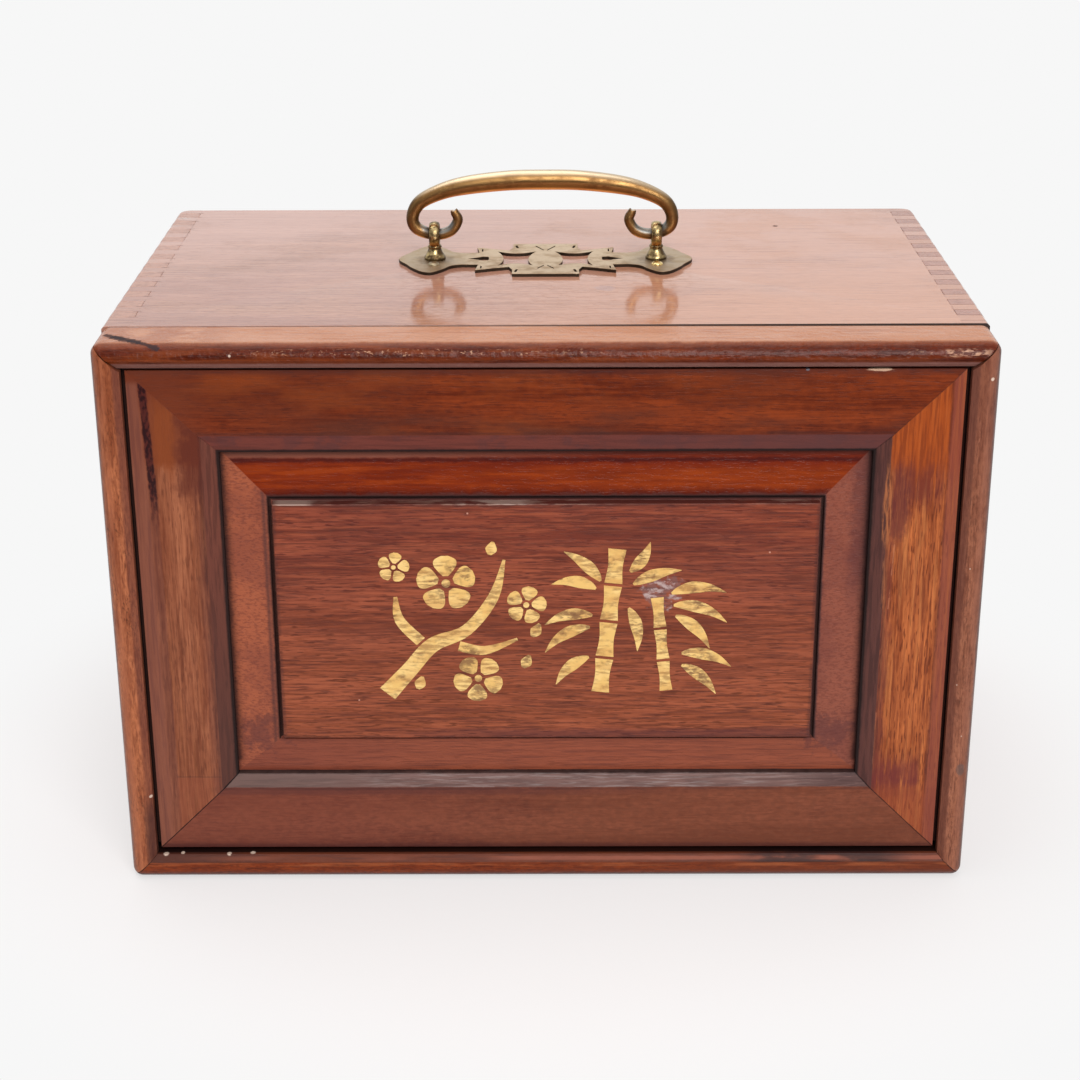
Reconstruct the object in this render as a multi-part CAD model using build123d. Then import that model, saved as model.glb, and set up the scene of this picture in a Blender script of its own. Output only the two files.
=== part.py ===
from build123d import *
import os

# A table-top case for a tile game: a finger-jointed wooden carcass holding five drawers, behind a framed
# front panel that lifts straight up out of its grooves together with the top moulding of the front frame.
# A brass bail handle swings in two eyes on the top board, over a pierced brass plate.
# Millimetres; X to the right, Y to the back, Z up; the origin is the centre of the base.

# ---- carcass ----
case_width = 240.0
case_depth = 155.5
case_height = 160.5
board = 7.5  # thickness of the top, bottom and side boards
back_thickness = 6.0
rebate_lip = 4.0  # wood left outside the back board
rear_round = 4.0  # radius of the upright rear edges
edge_ease = 0.8  # worn edges of the carcass
front_finger = 9.6  # first finger of the top and bottom boards, behind the front frame
finger_pairs = 12  # side and board fingers after the first one

# ---- front frame: four mitred mouldings ----
moulding_width = 7.5
moulding_depth = 18.5
moulding_round = 4.0  # outer front edge
moulding_bevel = 1.7  # inner front edge
corner_round = 3.0  # the frame's corners, seen from the front
groove_depth = 3.0  # grooves that guide the front panel
lift_mitre_gap = 0.5  # at each end of the top moulding, which lifts
lift_gap_left = 0.5  # between the top moulding and the top board, wider to the right
lift_gap_right = 1.3

# ---- front panel ----
panel_setback = 2.75  # panel face behind the face of the mouldings
panel_thickness = 8.0
panel_side_gap = 1.2
panel_bottom_gap = 1.6
tongue_thickness = 3.0
tongue_setback = 3.25  # tongue behind the panel face
tongue_clearance = 0.3
member_flat = 18.2  # face width of the stiles and rails
member_slope = 5.1  # width of their sloping inner edge
member_slope_depth = 1.6
member_margin = 3.7  # worn outer margin of the stiles and rails
member_margin_drop = 0.4
field_groove = 4.0  # groove in the stiles and rails that holds the raised field
field_tongue = 2.6  # thickness of the field's edge
field_play = 0.5  # room for the field to swell in its groove
field_low = 3.75  # outer end of the raising, behind the panel face
field_shoulder = 1.8  # inner end of the raising, behind the panel face
field_proud = 0.3  # field in front of the panel face
field_margin_side = 13.8
field_margin_top = 14.4
field_margin_bottom = 12.2
quirk_width = 1.8  # narrow sunk line round the field
quirk_depth = 0.75
tenon_thickness = 2.4
tenon_width = 9.0
tenon_inset = 4.5  # wood left outside a tenon

# ---- drawers ----
drawer_count = 5
top_drawer_height = 25.0
drawer_gap = 0.6  # between drawer fronts
drawer_side_gap = 0.5
drawer_front_gap = 1.0  # between the front frame and the drawer fronts
drawer_rear_gap = 1.5
drawer_front_thickness = 7.0
drawer_wall = 5.0
drawer_floor = 3.0
drawer_floor_rise = 1.5  # floor above the lower edge of the drawer walls
drawer_housing = 2.0  # grooves and housings cut in drawer walls
drawer_wall_drop = 2.2  # drawer walls below the top of the drawer front
runner_height = 3.0
runner_width = 6.0
runner_rise = 2.5  # runner's top above the lower edge of its drawer front
knob_head_radius = 4.2
knob_crown_radius = 2.9
knob_neck_radius = 1.7
knob_proud = 6.2
knob_head_height = 3.4

# ---- handle ----
handle_setback = 87.0  # eyes behind the front of the case
eye_spacing = 66.0
eye_height = 8.4  # bail axis above the top board
eye_ring_radius = 3.8
eye_hole_radius = 2.25
eye_ring_width = 2.9
eye_foot_radius = 3.1
eye_foot_lip = 0.7
eye_neck_radius = 1.75
eye_shank_radius = 1.5
eye_peen_radius = 2.4
eye_peen_height = 0.9
washer_radius = 4.2
washer_thickness = 1.0
bail_rise = 16.5  # middle of the grip above the bail axis
bail_droop = 4.3  # fall of the grip from its middle to the eyes
bail_middle_radius = 2.8
bail_shoulder_radius = 1.75
bail_eye_radius = 1.65
bail_tip_radius = 0.85
bail_curl = 7.0  # reach of the curls from the eyes
bail_curl_share = 0.24  # of the bar's length, in each curl
bail_curl_stations = 13  # sections along a curl
bail_grip_stations = 4  # sections along half of the grip
plate_thickness = 1.0
plate_half_depth = 17.6
plate_tab = 9.8  # half width of the straight edge in the middle of the plate
plate_lobe = 10.8  # reach of the plate beyond the eyes
star_offset = 8.9  # centre of a star from the middle of the plate
star_half_width = 4.9
star_half_depth = 8.2
tack_setback = 7.2  # tacks in front of the eyes
tack_head_radius = 1.7
tack_head_height = 0.9
tack_pin_width = 1.1
tack_length = 6.0

# ---- places worked out from the sizes ----
front = -case_depth / 2
rear = case_depth / 2
half_width = case_width / 2
frame_back = front + moulding_depth
inner_x = half_width - board
under_top = case_height - board
finger_start = frame_back + front_finger
finger_pitch = (rear - finger_start) / (2 * finger_pairs)

panel_front = front + panel_setback
panel_back = panel_front + panel_thickness
panel_half = half_width - moulding_width - panel_side_gap
panel_bottom = moulding_width + panel_bottom_gap
panel_top = case_height - moulding_width
member_width = member_flat + member_slope
tongue_front = panel_front + tongue_setback
tongue_back = tongue_front + tongue_thickness
opening_half = panel_half - member_width
opening_bottom = panel_bottom + member_width
opening_top = panel_top - member_width

drawer_face = frame_back + drawer_front_gap
drawer_end = rear - back_thickness - drawer_rear_gap
drawer_half = inner_x - drawer_side_gap
tile_drawers_height = under_top - board - top_drawer_height - (drawer_count + 1) * drawer_gap
tile_drawer_height = tile_drawers_height / (drawer_count - 1)

handle_y = front + handle_setback
eye_x = eye_spacing / 2
bail_axis_z = case_height + eye_height
plate_top = case_height + plate_thickness


def block(x, y, z):
    """A square block between the pairs of limits x, y and z."""
    centre = [(low + high) / 2 for low, high in (x, y, z)]
    return Pos(*centre) * Box(*[high - low for low, high in (x, y, z)])


def both_sides(shape):
    """The shape and its mirror image on the left of the case, as one compound."""
    return Compound(children=[shape, mirror(shape, about=Plane.YZ)])


# ---- carcass ----
def finger_zone(index):
    """Front and back of one finger; even ones belong to the top and bottom boards, odd ones to the sides."""
    if index == 0:
        return (frame_back, finger_start)
    low = finger_start + (index - 1) * finger_pitch
    return (low, low + finger_pitch)


def carcass_envelope():
    """The outside of the carcass, with its rounded upright rear edges and eased top and bottom edges."""
    body = block((-half_width, half_width), (frame_back, rear), (0, case_height))
    upright = body.edges().filter_by(Axis.Z).group_by(Axis.Y)[-1]
    body = fillet(upright, rear_round)
    top_and_base = body.faces().sort_by(Axis.Z)
    rims = (top_and_base[0].edges() + top_and_base[-1].edges()).group_by(Axis.Y)[1:]
    return chamfer([edge for group in rims for edge in group], edge_ease)


def back_board_blank():
    reach = half_width - rebate_lip
    height = (rebate_lip, case_height - rebate_lip)
    return block((-reach, reach), (rear - back_thickness, rear), height)


def level_board(height, front_edge):
    """The top or bottom board: a slab with fingers at both ends, rebated for the back board."""
    slab = extrude(Pos(0, 0, height) * make_face(Polyline(*front_edge, close=True)), board)
    for index in range(1, 2 * finger_pairs + 1, 2):
        slot = block((inner_x, half_width), finger_zone(index), (height, height + board))
        slab = slab - slot - mirror(slot, about=Plane.YZ)
    return (slab - back_board_blank()) & carcass_envelope()


def side_board():
    """The right-hand side board, with fingers at its top and base."""
    slab = block((inner_x, half_width), (frame_back, rear), (0, case_height))
    for index in range(0, 2 * finger_pairs + 1, 2):
        for height in (0, under_top):
            slab -= block((inner_x, half_width), finger_zone(index), (height, height + board))
    return (slab - back_board_blank()) & carcass_envelope()


# ---- front frame ----
def mitred(length, width, depth, end_gap=0.0):
    """A prism along X whose ends are cut at 45 degrees towards its inner edge, at Z = width."""
    outer = [(end_gap, 0), (length - end_gap, 0)]
    inner = [(length - end_gap - width, width), (end_gap + width, width)]
    outline = make_face(Polyline(*outer, *inner, close=True))
    return extrude(Plane.XZ * outline, depth, dir=(0, 1, 0))


def frame_moulding(length, end_gap=0.0):
    """A moulding along X: outer edge at Z = 0, face at Y = 0, grooved along its inner edge."""
    section = Pos(moulding_depth / 2, moulding_width / 2) * Rectangle(moulding_depth, moulding_width)
    face_corners = section.vertices().group_by(Axis.X)[0].sort_by(Axis.Y)
    section = chamfer(face_corners[1], moulding_bevel)
    outer_corner = section.vertices().sort_by(lambda corner: corner.X + corner.Y)[0]
    section = fillet(outer_corner, moulding_round)
    return extrude(Plane.YZ * section, length) & mitred(length, moulding_width, moulding_depth, end_gap)


def panel_groove(length, clearance):
    """The tool for the groove along a moulding's inner edge."""
    low = tongue_front - front - clearance
    high = tongue_back - front + clearance
    return block((0, length), (low, high), (moulding_width - groove_depth, moulding_width))


def rounded_corners():
    """The outline that rounds the front frame's four corners."""
    outline = Pos(0, case_height / 2) * RectangleRounded(case_width, case_height, corner_round)
    return Pos(0, front, 0) * extrude(Plane.XZ * outline, moulding_depth, dir=(0, 1, 0))


def front_mouldings():
    level = frame_moulding(case_width) - panel_groove(case_width, tongue_clearance)
    upright = frame_moulding(case_height) - panel_groove(case_height, tongue_clearance)
    lifting = frame_moulding(case_width, lift_mitre_gap) - panel_groove(case_width, 0)
    corners = rounded_corners()
    bottom = Pos(-half_width, front, 0) * level & corners
    right = Pos(half_width, front, 0) * Rot(0, -90, 0) * upright & corners
    top = Pos(half_width, front, case_height) * Rot(0, 180, 0) * lifting & corners
    return bottom, right, top


# ---- front panel ----
def panel_member(length, tongue_length):
    """A stile or rail along X: outer edge at Z = 0, face at Y = 0, with a tongue outside and a groove inside."""
    outline = [
        (member_margin_drop, 0),
        (0, member_margin),
        (0, member_flat),
        (member_slope_depth, member_width),
        (panel_thickness, member_width),
        (panel_thickness, 0),
    ]
    section = make_face(Polyline(*outline, close=True))
    member = extrude(Plane.YZ * section, length) & mitred(length, member_width, panel_thickness)
    groove = block((0, length), (field_low, field_low + field_tongue), (member_width - field_groove, member_width))
    tongue = block((0, length), (tongue_setback, tongue_setback + tongue_thickness), (-tongue_length, 0))
    return member - groove + tongue


def corner_tenon(level):
    """The right-hand tenon of a rail whose outer edge lies at the height level[0], going in to level[1]."""
    direction = 1 if level[1] > level[0] else -1
    near = level[0] + direction * tenon_inset
    far = near + direction * tenon_width
    middle = (panel_front + panel_back) / 2
    depth = (middle - tenon_thickness / 2, middle + tenon_thickness / 2)
    return block((opening_half, panel_half - tenon_inset), depth, (min(near, far), max(near, far)))


def panel_frame():
    width = 2 * panel_half
    height = panel_top - panel_bottom
    side_tongue = panel_side_gap + groove_depth - tongue_clearance
    bottom_rail = Pos(-panel_half, panel_front, panel_bottom) * panel_member(width, panel_bottom_gap + groove_depth)
    top_rail = Pos(panel_half, panel_front, panel_top) * Rot(0, 180, 0) * panel_member(width, groove_depth)
    stile = Pos(panel_half, panel_front, panel_bottom) * Rot(0, -90, 0) * panel_member(height, side_tongue)
    lower_tenon = corner_tenon((panel_bottom, opening_bottom))
    upper_tenon = corner_tenon((panel_top, opening_top))
    bottom_rail = bottom_rail + lower_tenon + mirror(lower_tenon, about=Plane.YZ)
    top_rail = top_rail + upper_tenon + mirror(upper_tenon, about=Plane.YZ)
    stile = stile - lower_tenon - upper_tenon
    return top_rail, bottom_rail, stile


def level_rectangle(half, low, high, depth):
    """An upright rectangle, depth behind the panel face."""
    outline = Pos(0, (low + high) / 2) * Rectangle(2 * half, high - low)
    return Pos(0, panel_front + depth, 0) * (Plane.XZ * outline)


def raised_field():
    """The raised and fielded panel: a thin edge, a sloping raising, a sunk quirk and the flat field."""
    engaged = field_groove - field_play
    half = opening_half - field_margin_side
    low = opening_bottom + field_margin_bottom
    high = opening_top - field_margin_top
    edge_depth = (panel_front + field_low, panel_front + field_low + field_tongue)
    edge_x = opening_half + engaged
    edge = block((-edge_x, edge_x), edge_depth, (opening_bottom - engaged, opening_top + engaged))
    foot = level_rectangle(opening_half, opening_bottom, opening_top, field_low)
    shoulder = level_rectangle(half + quirk_width, low - quirk_width, high + quirk_width, field_shoulder)
    raising = loft([foot, shoulder])
    quirk_y = (panel_front + field_shoulder, panel_front + field_shoulder + quirk_depth)
    quirk_z = (low - quirk_width, high + quirk_width)
    quirk = block((-half - quirk_width, half + quirk_width), quirk_y, quirk_z)
    field_y = (panel_front - field_proud, panel_front + field_low)
    field = block((-half, half), field_y, (low, high))
    return edge + (raising - quirk) + field


# ---- drawers ----
def drawer_level(number):
    """Lower and upper edge of a drawer front, counting from 1 at the top."""
    high = under_top - drawer_gap
    if number > 1:
        high -= top_drawer_height + drawer_gap + (number - 2) * (tile_drawer_height + drawer_gap)
    return high - (top_drawer_height if number == 1 else tile_drawer_height), high


def drawer_seat(number):
    """Height at which a drawer's walls rest, on its runners or, for the lowest, on the bottom board."""
    return board if number == drawer_count else drawer_level(number)[0] + runner_rise


def runners():
    """The runners of the right-hand side, one under each drawer but the lowest."""
    span = (drawer_face + drawer_front_thickness, rear - back_thickness)
    strips = []
    for number in range(1, drawer_count):
        seat = drawer_seat(number)
        strips.append(block((inner_x - runner_width, inner_x), span, (seat - runner_height, seat)))
    return strips


def knob():
    """A turned knob, its neck leaving the plane Y = 0 towards -Y, on a peg through the drawer front."""
    neck_end = knob_proud - knob_head_height
    outline = [
        (0, -drawer_front_thickness),
        (knob_neck_radius, -drawer_front_thickness),
        (knob_neck_radius, neck_end),
        (knob_head_radius, neck_end + knob_head_height / 2),
        (knob_crown_radius, knob_proud),
        (0, knob_proud),
    ]
    return Rot(90, 0, 0) * revolve(Plane.XZ * make_face(Polyline(*outline, close=True)), Axis.Z)


def drawer(number):
    """The pieces of one drawer, by the last part of their name."""
    low, high = drawer_level(number)
    seat = drawer_seat(number)
    wall_top = high - drawer_wall_drop
    front_back = drawer_face + drawer_front_thickness
    housing_front = front_back - drawer_housing
    inside = drawer_half - drawer_wall
    floor_z = (seat + drawer_floor_rise, seat + drawer_floor_rise + drawer_floor)
    floor_x = (-inside - drawer_housing, inside + drawer_housing)

    floor = block(floor_x, (housing_front, drawer_end), floor_z)
    wall = block((inside, drawer_half), (housing_front, drawer_end), (seat, wall_top))
    back_y = (drawer_end - 2 * drawer_wall, drawer_end - drawer_wall)
    back = block(floor_x, back_y, (floor_z[1], wall_top))
    face = block((-drawer_half, drawer_half), (drawer_face, front_back), (low, high))
    walls_cut = both_sides(wall)
    wall = wall - floor - back
    face = face - walls_cut - floor

    turned_knob = Pos(0, drawer_face, (low + high) / 2) * knob()
    return {
        "front": face - turned_knob,
        "right_side": wall,
        "left_side": mirror(wall, about=Plane.YZ),
        "back": back,
        "floor": floor,
        "knob": turned_knob,
    }


# ---- handle ----
def eye_ring():
    """The ring of an eye, its axis along X."""
    middle = (eye_hole_radius + eye_ring_radius) / 2
    return revolve(Pos(0, middle) * Rectangle(eye_ring_width, eye_ring_radius - eye_hole_radius), Axis.X)


def eye():
    """The right-hand eye: ring, bell foot on the plate, and a shank peened over a washer under the top board."""
    ring = Pos(eye_x, handle_y, bail_axis_z) * Rot(90, 0, 0) * eye_ring()
    neck_top = eye_height - plate_thickness - (eye_hole_radius + eye_ring_radius) / 2
    shank_end = -(plate_thickness + board + washer_thickness)
    outline = [
        (0, shank_end - eye_peen_height),
        (eye_peen_radius, shank_end - eye_peen_height),
        (eye_peen_radius, shank_end),
        (eye_shank_radius, shank_end),
        (eye_shank_radius, 0),
        (eye_foot_radius, 0),
        (eye_foot_radius, eye_foot_lip),
        (eye_neck_radius, neck_top),
        (0, neck_top),
    ]
    post = revolve(Plane.XZ * make_face(Polyline(*outline, close=True)), Axis.Z)
    post = Pos(eye_x, handle_y, plate_top) * post
    hole = Pos(eye_x, handle_y, bail_axis_z) * Rot(0, 90, 0) * Cylinder(eye_hole_radius, 2 * eye_foot_radius)
    return ring + (post - hole)


def shank_hole():
    return Pos(eye_x, handle_y, case_height) * Cylinder(eye_shank_radius, 4 * board)


def washer():
    ring = Cylinder(washer_radius, washer_thickness) - Cylinder(eye_shank_radius, washer_thickness)
    return Pos(eye_x, handle_y, under_top - washer_thickness / 2) * ring


def tack():
    """A tack with a peaked head and a square pin, through the plate into the top board."""
    head = Pos(0, 0, tack_head_height / 2) * Cone(tack_head_radius, tack_head_radius / 3, tack_head_height)
    pin = Pos(0, 0, -tack_length / 2) * Box(tack_pin_width, tack_pin_width, tack_length)
    return Pos(eye_x, handle_y - tack_setback, plate_top) * (head + pin)


def bail():
    """The bail: a round bar, thick at the grip, tapering through the eyes into upturned curls."""
    curl = [(-0.86, 0.93), (-1.01, 0.57), (-0.67, 0.14), (0, 0), (0.73, 0.26), (0.91, 0.77), (0.57, 1.39)]
    arch = [(share, bail_rise - bail_droop * share**2.7) for share in (0.92, 0.68, 0.32, 0)]
    right = [(eye_x + out * bail_curl, up * bail_curl) for out, up in curl]
    right += [(eye_x * share, up) for share, up in arch]
    left = [(-out, up) for out, up in reversed(right[:-1])]
    path = Plane.XZ * Spline(*right, *left)

    radii = [
        (0.0, bail_tip_radius),
        (0.02, bail_eye_radius * 0.8),
        (0.10, bail_eye_radius),
        (0.20, bail_shoulder_radius),
        (0.29, (bail_shoulder_radius + bail_middle_radius) / 2),
        (0.40, bail_middle_radius * 0.96),
        (0.5, bail_middle_radius),
    ]
    curl_step = bail_curl_share / bail_curl_stations
    grip_step = (0.5 - bail_curl_share) / bail_grip_stations
    shares = [index * curl_step for index in range(bail_curl_stations)]
    shares += [bail_curl_share + index * grip_step for index in range(bail_grip_stations)] + [0.5]
    circles = []
    for at in shares + [1 - share for share in reversed(shares[:-1])]:
        share = min(at, 1 - at)
        low, high = [pair for pair in zip(radii, radii[1:]) if pair[0][0] <= share][-1]
        blend = (share - low[0]) / (high[0] - low[0])
        radius = low[1] + blend * (high[1] - low[1])
        circles.append(Plane(path @ at, x_dir=(0, 1, 0), z_dir=path % at) * Circle(radius))
    return Pos(0, handle_y, bail_axis_z) * loft(circles, ruled=True)


def plate_quarter():
    """A quarter of the plate's outline, from the middle of its front edge to its right-hand tip."""
    middle = [(0, 1), (1, 1), (1, 0.74), (1.11, 0.55), (1.58, 0.64), (2.11, 0.76), (2.03, 0.39), (2.6, 0.39)]
    lobe = [(-0.41, 0.5), (-0.22, 0.75), (0.06, 0.89), (0.31, 0.85), (0.64, 0.64), (0.87, 0.32), (1, 0)]
    outline = [(out * plate_tab, back * plate_half_depth) for out, back in middle]
    return outline + [(eye_x + out * plate_lobe, back * plate_half_depth) for out, back in lobe]


def star_piercing():
    """The right-hand star: four long points and hollow sides."""
    outline = [(-1, 1), (0, 0.71), (1, 1), (0.63, 0), (1, -1), (0, -0.71), (-1, -1), (-0.63, 0)]
    corners = [(star_offset + out * star_half_width, back * star_half_depth) for out, back in outline]
    with BuildSketch() as star:
        with BuildLine():
            for start in range(0, len(corners), 2):
                ThreePointArc(corners[start], corners[start + 1], corners[(start + 2) % len(corners)])
        make_face()
    return star.sketch


def slits():
    """The right-hand slits: a teardrop between the star and the lobe, and a nick on each side of the tab's corner."""
    teardrop = [(1.73, 0.12), (1.9, 0.14), (2.39, 0), (1.9, -0.14), (1.73, -0.12)]
    corner_nick = [(0.8, 0.71), (0.88, 0.71), (0.95, 0.88), (0.88, 0.9)]
    wing_nick = [(2.01, 0.48), (2.07, 0.48), (2.06, 0.66), (2.02, 0.66)]
    cuts = []
    for outline in (teardrop, corner_nick, wing_nick):
        points = [(out * plate_tab, back * plate_half_depth) for out, back in outline]
        cuts.append(make_face(Polyline(*points, close=True)))
    return cuts


def handle_plate():
    """The pierced plate, alike left and right and front and back."""
    quarter = plate_quarter()
    right_half = [(x, -y) for x, y in quarter] + [(x, y) for x, y in reversed(quarter[1:-1])] + [(0, quarter[0][1])]
    left_half = [(-x, y) for x, y in reversed(right_half[1:-1])]
    outline = make_face(Polyline(*right_half, *left_half, close=True))
    for cut in [star_piercing(), *slits()]:
        outline -= cut
        outline -= mirror(cut, about=Plane.YZ)
    plate = Pos(0, handle_y, case_height) * extrude(outline, plate_thickness)
    return plate - both_sides(shank_hole()) - both_sides(tack())


def save(name, shape):
    export_step(shape, os.path.join("parts", name + ".step"))


os.makedirs("parts", exist_ok=True)

board_back = [(half_width, rear), (-half_width, rear)]
top_front = [(-half_width, frame_back + lift_gap_left), (half_width, frame_back + lift_gap_right)]
bottom_front = [(-half_width, frame_back), (half_width, frame_back)]
top_board = level_board(under_top, top_front + board_back)
top_board = top_board - both_sides(shank_hole()) - both_sides(tack())
side = side_board()
save("top_board", top_board)
save("bottom_board", level_board(0, bottom_front + board_back))
save("right_side_board", side)
save("left_side_board", mirror(side, about=Plane.YZ))
save("back_board", back_board_blank())

bottom_moulding, right_moulding, top_moulding = front_mouldings()
save("bottom_front_moulding", bottom_moulding)
save("right_front_moulding", right_moulding)
save("left_front_moulding", mirror(right_moulding, about=Plane.YZ))
save("top_lift_moulding", top_moulding)

top_rail, bottom_rail, right_stile = panel_frame()
save("panel_top_rail", top_rail)
save("panel_bottom_rail", bottom_rail)
save("panel_right_stile", right_stile)
save("panel_left_stile", mirror(right_stile, about=Plane.YZ))
save("panel_raised_field", raised_field())

right_runners = Compound(children=runners())
save("right_drawer_runners", right_runners)
save("left_drawer_runners", mirror(right_runners, about=Plane.YZ))
for number in range(1, drawer_count + 1):
    for piece, shape in drawer(number).items():
        save(f"drawer_{number}_{piece}", shape)

right_eye = eye()
save("right_handle_eye", right_eye)
save("left_handle_eye", mirror(right_eye, about=Plane.YZ))
save("handle_eye_washers", both_sides(washer()))
save("handle_plate", handle_plate())
save("plate_tacks", both_sides(tack()))
save("handle_bail", bail())
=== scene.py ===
import math

import bmesh
import bpy
from mathutils import Matrix, Vector


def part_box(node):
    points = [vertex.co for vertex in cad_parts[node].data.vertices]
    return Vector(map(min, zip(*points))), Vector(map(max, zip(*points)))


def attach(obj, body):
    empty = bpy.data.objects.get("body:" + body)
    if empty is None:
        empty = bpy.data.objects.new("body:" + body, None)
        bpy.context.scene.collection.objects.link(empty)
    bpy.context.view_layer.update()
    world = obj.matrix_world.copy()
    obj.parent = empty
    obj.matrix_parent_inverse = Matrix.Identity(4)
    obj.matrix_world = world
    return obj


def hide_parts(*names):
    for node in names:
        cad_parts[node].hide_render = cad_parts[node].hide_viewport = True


# A finger-jointed case for a tile game: its varnished front frame, framed and fielded front panel,
# bail handle on a pierced plate, and the drawers behind the panel. Metres, in the frame of the CAD model.

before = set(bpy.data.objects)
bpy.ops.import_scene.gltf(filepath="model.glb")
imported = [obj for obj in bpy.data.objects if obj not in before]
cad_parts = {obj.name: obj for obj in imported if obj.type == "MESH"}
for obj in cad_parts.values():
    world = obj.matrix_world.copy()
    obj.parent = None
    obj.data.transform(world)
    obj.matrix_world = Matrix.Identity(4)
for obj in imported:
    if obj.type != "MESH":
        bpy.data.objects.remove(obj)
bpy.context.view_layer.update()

MM = 0.001

# ---- sizes of the finish that the CAD model doesn't hold ----
arris = 0.25 * MM  # softened edges of the front frame and panel
board_arris = 0.15 * MM  # softened edges of the carcass boards
plate_arris = 0.14 * MM  # softened edges of the pierced plate
moulding_round = 4.0 * MM
moulding_bevel = 1.7 * MM
undercut_edge = 6.5 * MM  # of the top moulding, from its top: plum bevel above, dark recess below
undercut_drop = 1.9 * MM
undercut_depth = 4.75 * MM
frame_corner = 3.0 * MM  # radius of the front frame's corners
margin_width = 3.7 * MM  # worn outer margin of the panel's stiles and rails
margin_drop = 0.4 * MM
flat_width = {  # from a member's outer edge to its sloping inner edge
    "top": 18.2 * MM,
    "bottom": 19.6 * MM,
    "left": 18.7 * MM,
    "right": 18.7 * MM,
}
slope_drop = 1.6 * MM
quirk_width = 1.25 * MM
quirk_depth = 0.75 * MM
field_proud = 0.3 * MM
raising_drop = 3.75 * MM  # foot of the raising behind the face of the panel
shoulder_drop = 1.8 * MM
side_margin = 13.8 * MM
top_margin = 14.4 * MM
bottom_margin = 12.2 * MM
first_finger = 9.6 * MM  # of the top board, behind the front frame
finger_count = 24  # fingers behind the first one
mitre_gap = 0.2 * MM
board = 7.5 * MM  # thickness of the carcass boards, and so the length of their fingers
lid_gap = 0.9 * MM  # between the front frame and the top board, in the middle
lid_skew = 0.8 / 240  # how fast that gap widens to the right
member_width = 23.3 * MM  # of the panel's stiles and rails
panel_bottom = 9.1 * MM  # height of the panel's lower edge
tongue_reach = {"top": 3.0 * MM, "bottom": 4.6 * MM, "left": 3.9 * MM, "right": 3.9 * MM}
tongue = (3.25 * MM, 6.25 * MM)  # front and back of the tongue round the panel
frame_groove = (5.7 * MM, 9.3 * MM)  # front and back of the groove that takes it
frame_groove_depth = 3.0 * MM
field_groove = (3.75 * MM, 6.35 * MM)  # front and back of the groove that holds the field
field_groove_depth = 4.0 * MM
field_engaged = 3.5 * MM  # how far the field enters it
field_edge = 2.6 * MM  # thickness of the field in it
eye_x = 33.0 * MM  # centre of an eye, to either side
bail_lift = 8.4 * MM  # axis of the bail over the top board
knob_proud = 6.2 * MM  # of a drawer's knob in front of the drawer

# ---- places read from the CAD nodes ----
case_low, case_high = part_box("right_front_moulding")
front = case_low.y
half_width = case_high.x
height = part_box("top_lift_moulding")[1].z
moulding_width = case_high.x - case_low.x
moulding_depth = case_high.y - case_low.y
frame_back = case_high.y
stile_low, stile_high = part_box("panel_right_stile")
panel_face = stile_low.y
panel_thickness = stile_high.y - stile_low.y
panel_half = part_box("panel_top_rail")[1].x
panel_top = height - moulding_width
opening_half = panel_half - member_width
opening_low = panel_bottom + member_width
opening_high = panel_top - member_width
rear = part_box("top_board")[1].y
lid_front = frame_back + lid_gap
bail_low, bail_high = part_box("handle_bail")
handle_y = (bail_low.y + bail_high.y) / 2
shank_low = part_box("right_handle_eye")[0].z
bail_axis_z = height + bail_lift
plate_low, plate_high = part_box("handle_plate")
plate_top = plate_high.z


# ---- mesh tools ----
NEAR = 1e-6  # two places closer than this are one
MERGE = 1e-7  # where a turned shape closes on itself


def block(low, high):
    """A closed box between two corners."""
    bm = bmesh.new()
    bmesh.ops.create_cube(bm, size=1)
    low, high = Vector(low), Vector(high)
    bmesh.ops.scale(bm, vec=high - low, verts=bm.verts)
    bmesh.ops.translate(bm, vec=(low + high) / 2, verts=bm.verts)
    return bm


def plane_cut(bm, point, normal, trim=False):
    """Cuts a mesh along a plane; trim takes off what lies beyond it and closes the cut."""
    everything = bm.verts[:] + bm.edges[:] + bm.faces[:]
    bmesh.ops.bisect_plane(bm, geom=everything, plane_co=point, plane_no=normal, clear_outer=trim)
    if trim:
        rim = [edge for edge in bm.edges if edge.is_boundary]
        bmesh.ops.edgeloop_fill(bm, edges=rim)


def edges_along_x(bm, y, z):
    """The edges that lie on the line parallel to X at y, z."""
    return [
        edge
        for edge in bm.edges
        if all(abs(vert.co.y - y) < NEAR and abs(vert.co.z - z) < NEAR for vert in edge.verts)
    ]


def push_strip(bm, z, y_low, y_high, travel):
    """Moves the strip of the face at height z between two depths: down for a groove, out for a tongue."""
    plane_cut(bm, (0, y_low, 0), (0, 1, 0))
    plane_cut(bm, (0, y_high, 0), (0, 1, 0))
    strip = []
    for face in bm.faces:
        centre = face.calc_center_median()
        if abs(centre.z - z) < 10 * NEAR and y_low < centre.y < y_high and abs(face.normal.z) > 0.9:
            strip.append(face)
    grown = bmesh.ops.extrude_face_region(bm, geom=strip)["geom"]
    bmesh.ops.delete(bm, geom=strip, context="FACES")
    moved = [item for item in grown if isinstance(item, bmesh.types.BMVert)]
    bmesh.ops.translate(bm, vec=(0, 0, travel), verts=moved)


def place_on_side(bm, side):
    """Turns a member made along X, with its outer edge at Z = 0, to the top, bottom, left or right."""
    turns = {
        "bottom": Matrix.Translation((-half_width, front, 0)),
        "top": Matrix.Translation((half_width, front, height)) @ Matrix.Rotation(math.pi, 4, "Y"),
        "right": Matrix.Translation((half_width, front, 0)) @ Matrix.Rotation(-math.pi / 2, 4, "Y"),
    }
    turns["left"] = Matrix.Scale(-1, 4, (1, 0, 0)) @ turns["right"]
    bmesh.ops.transform(bm, matrix=turns[side], verts=bm.verts)


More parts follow.
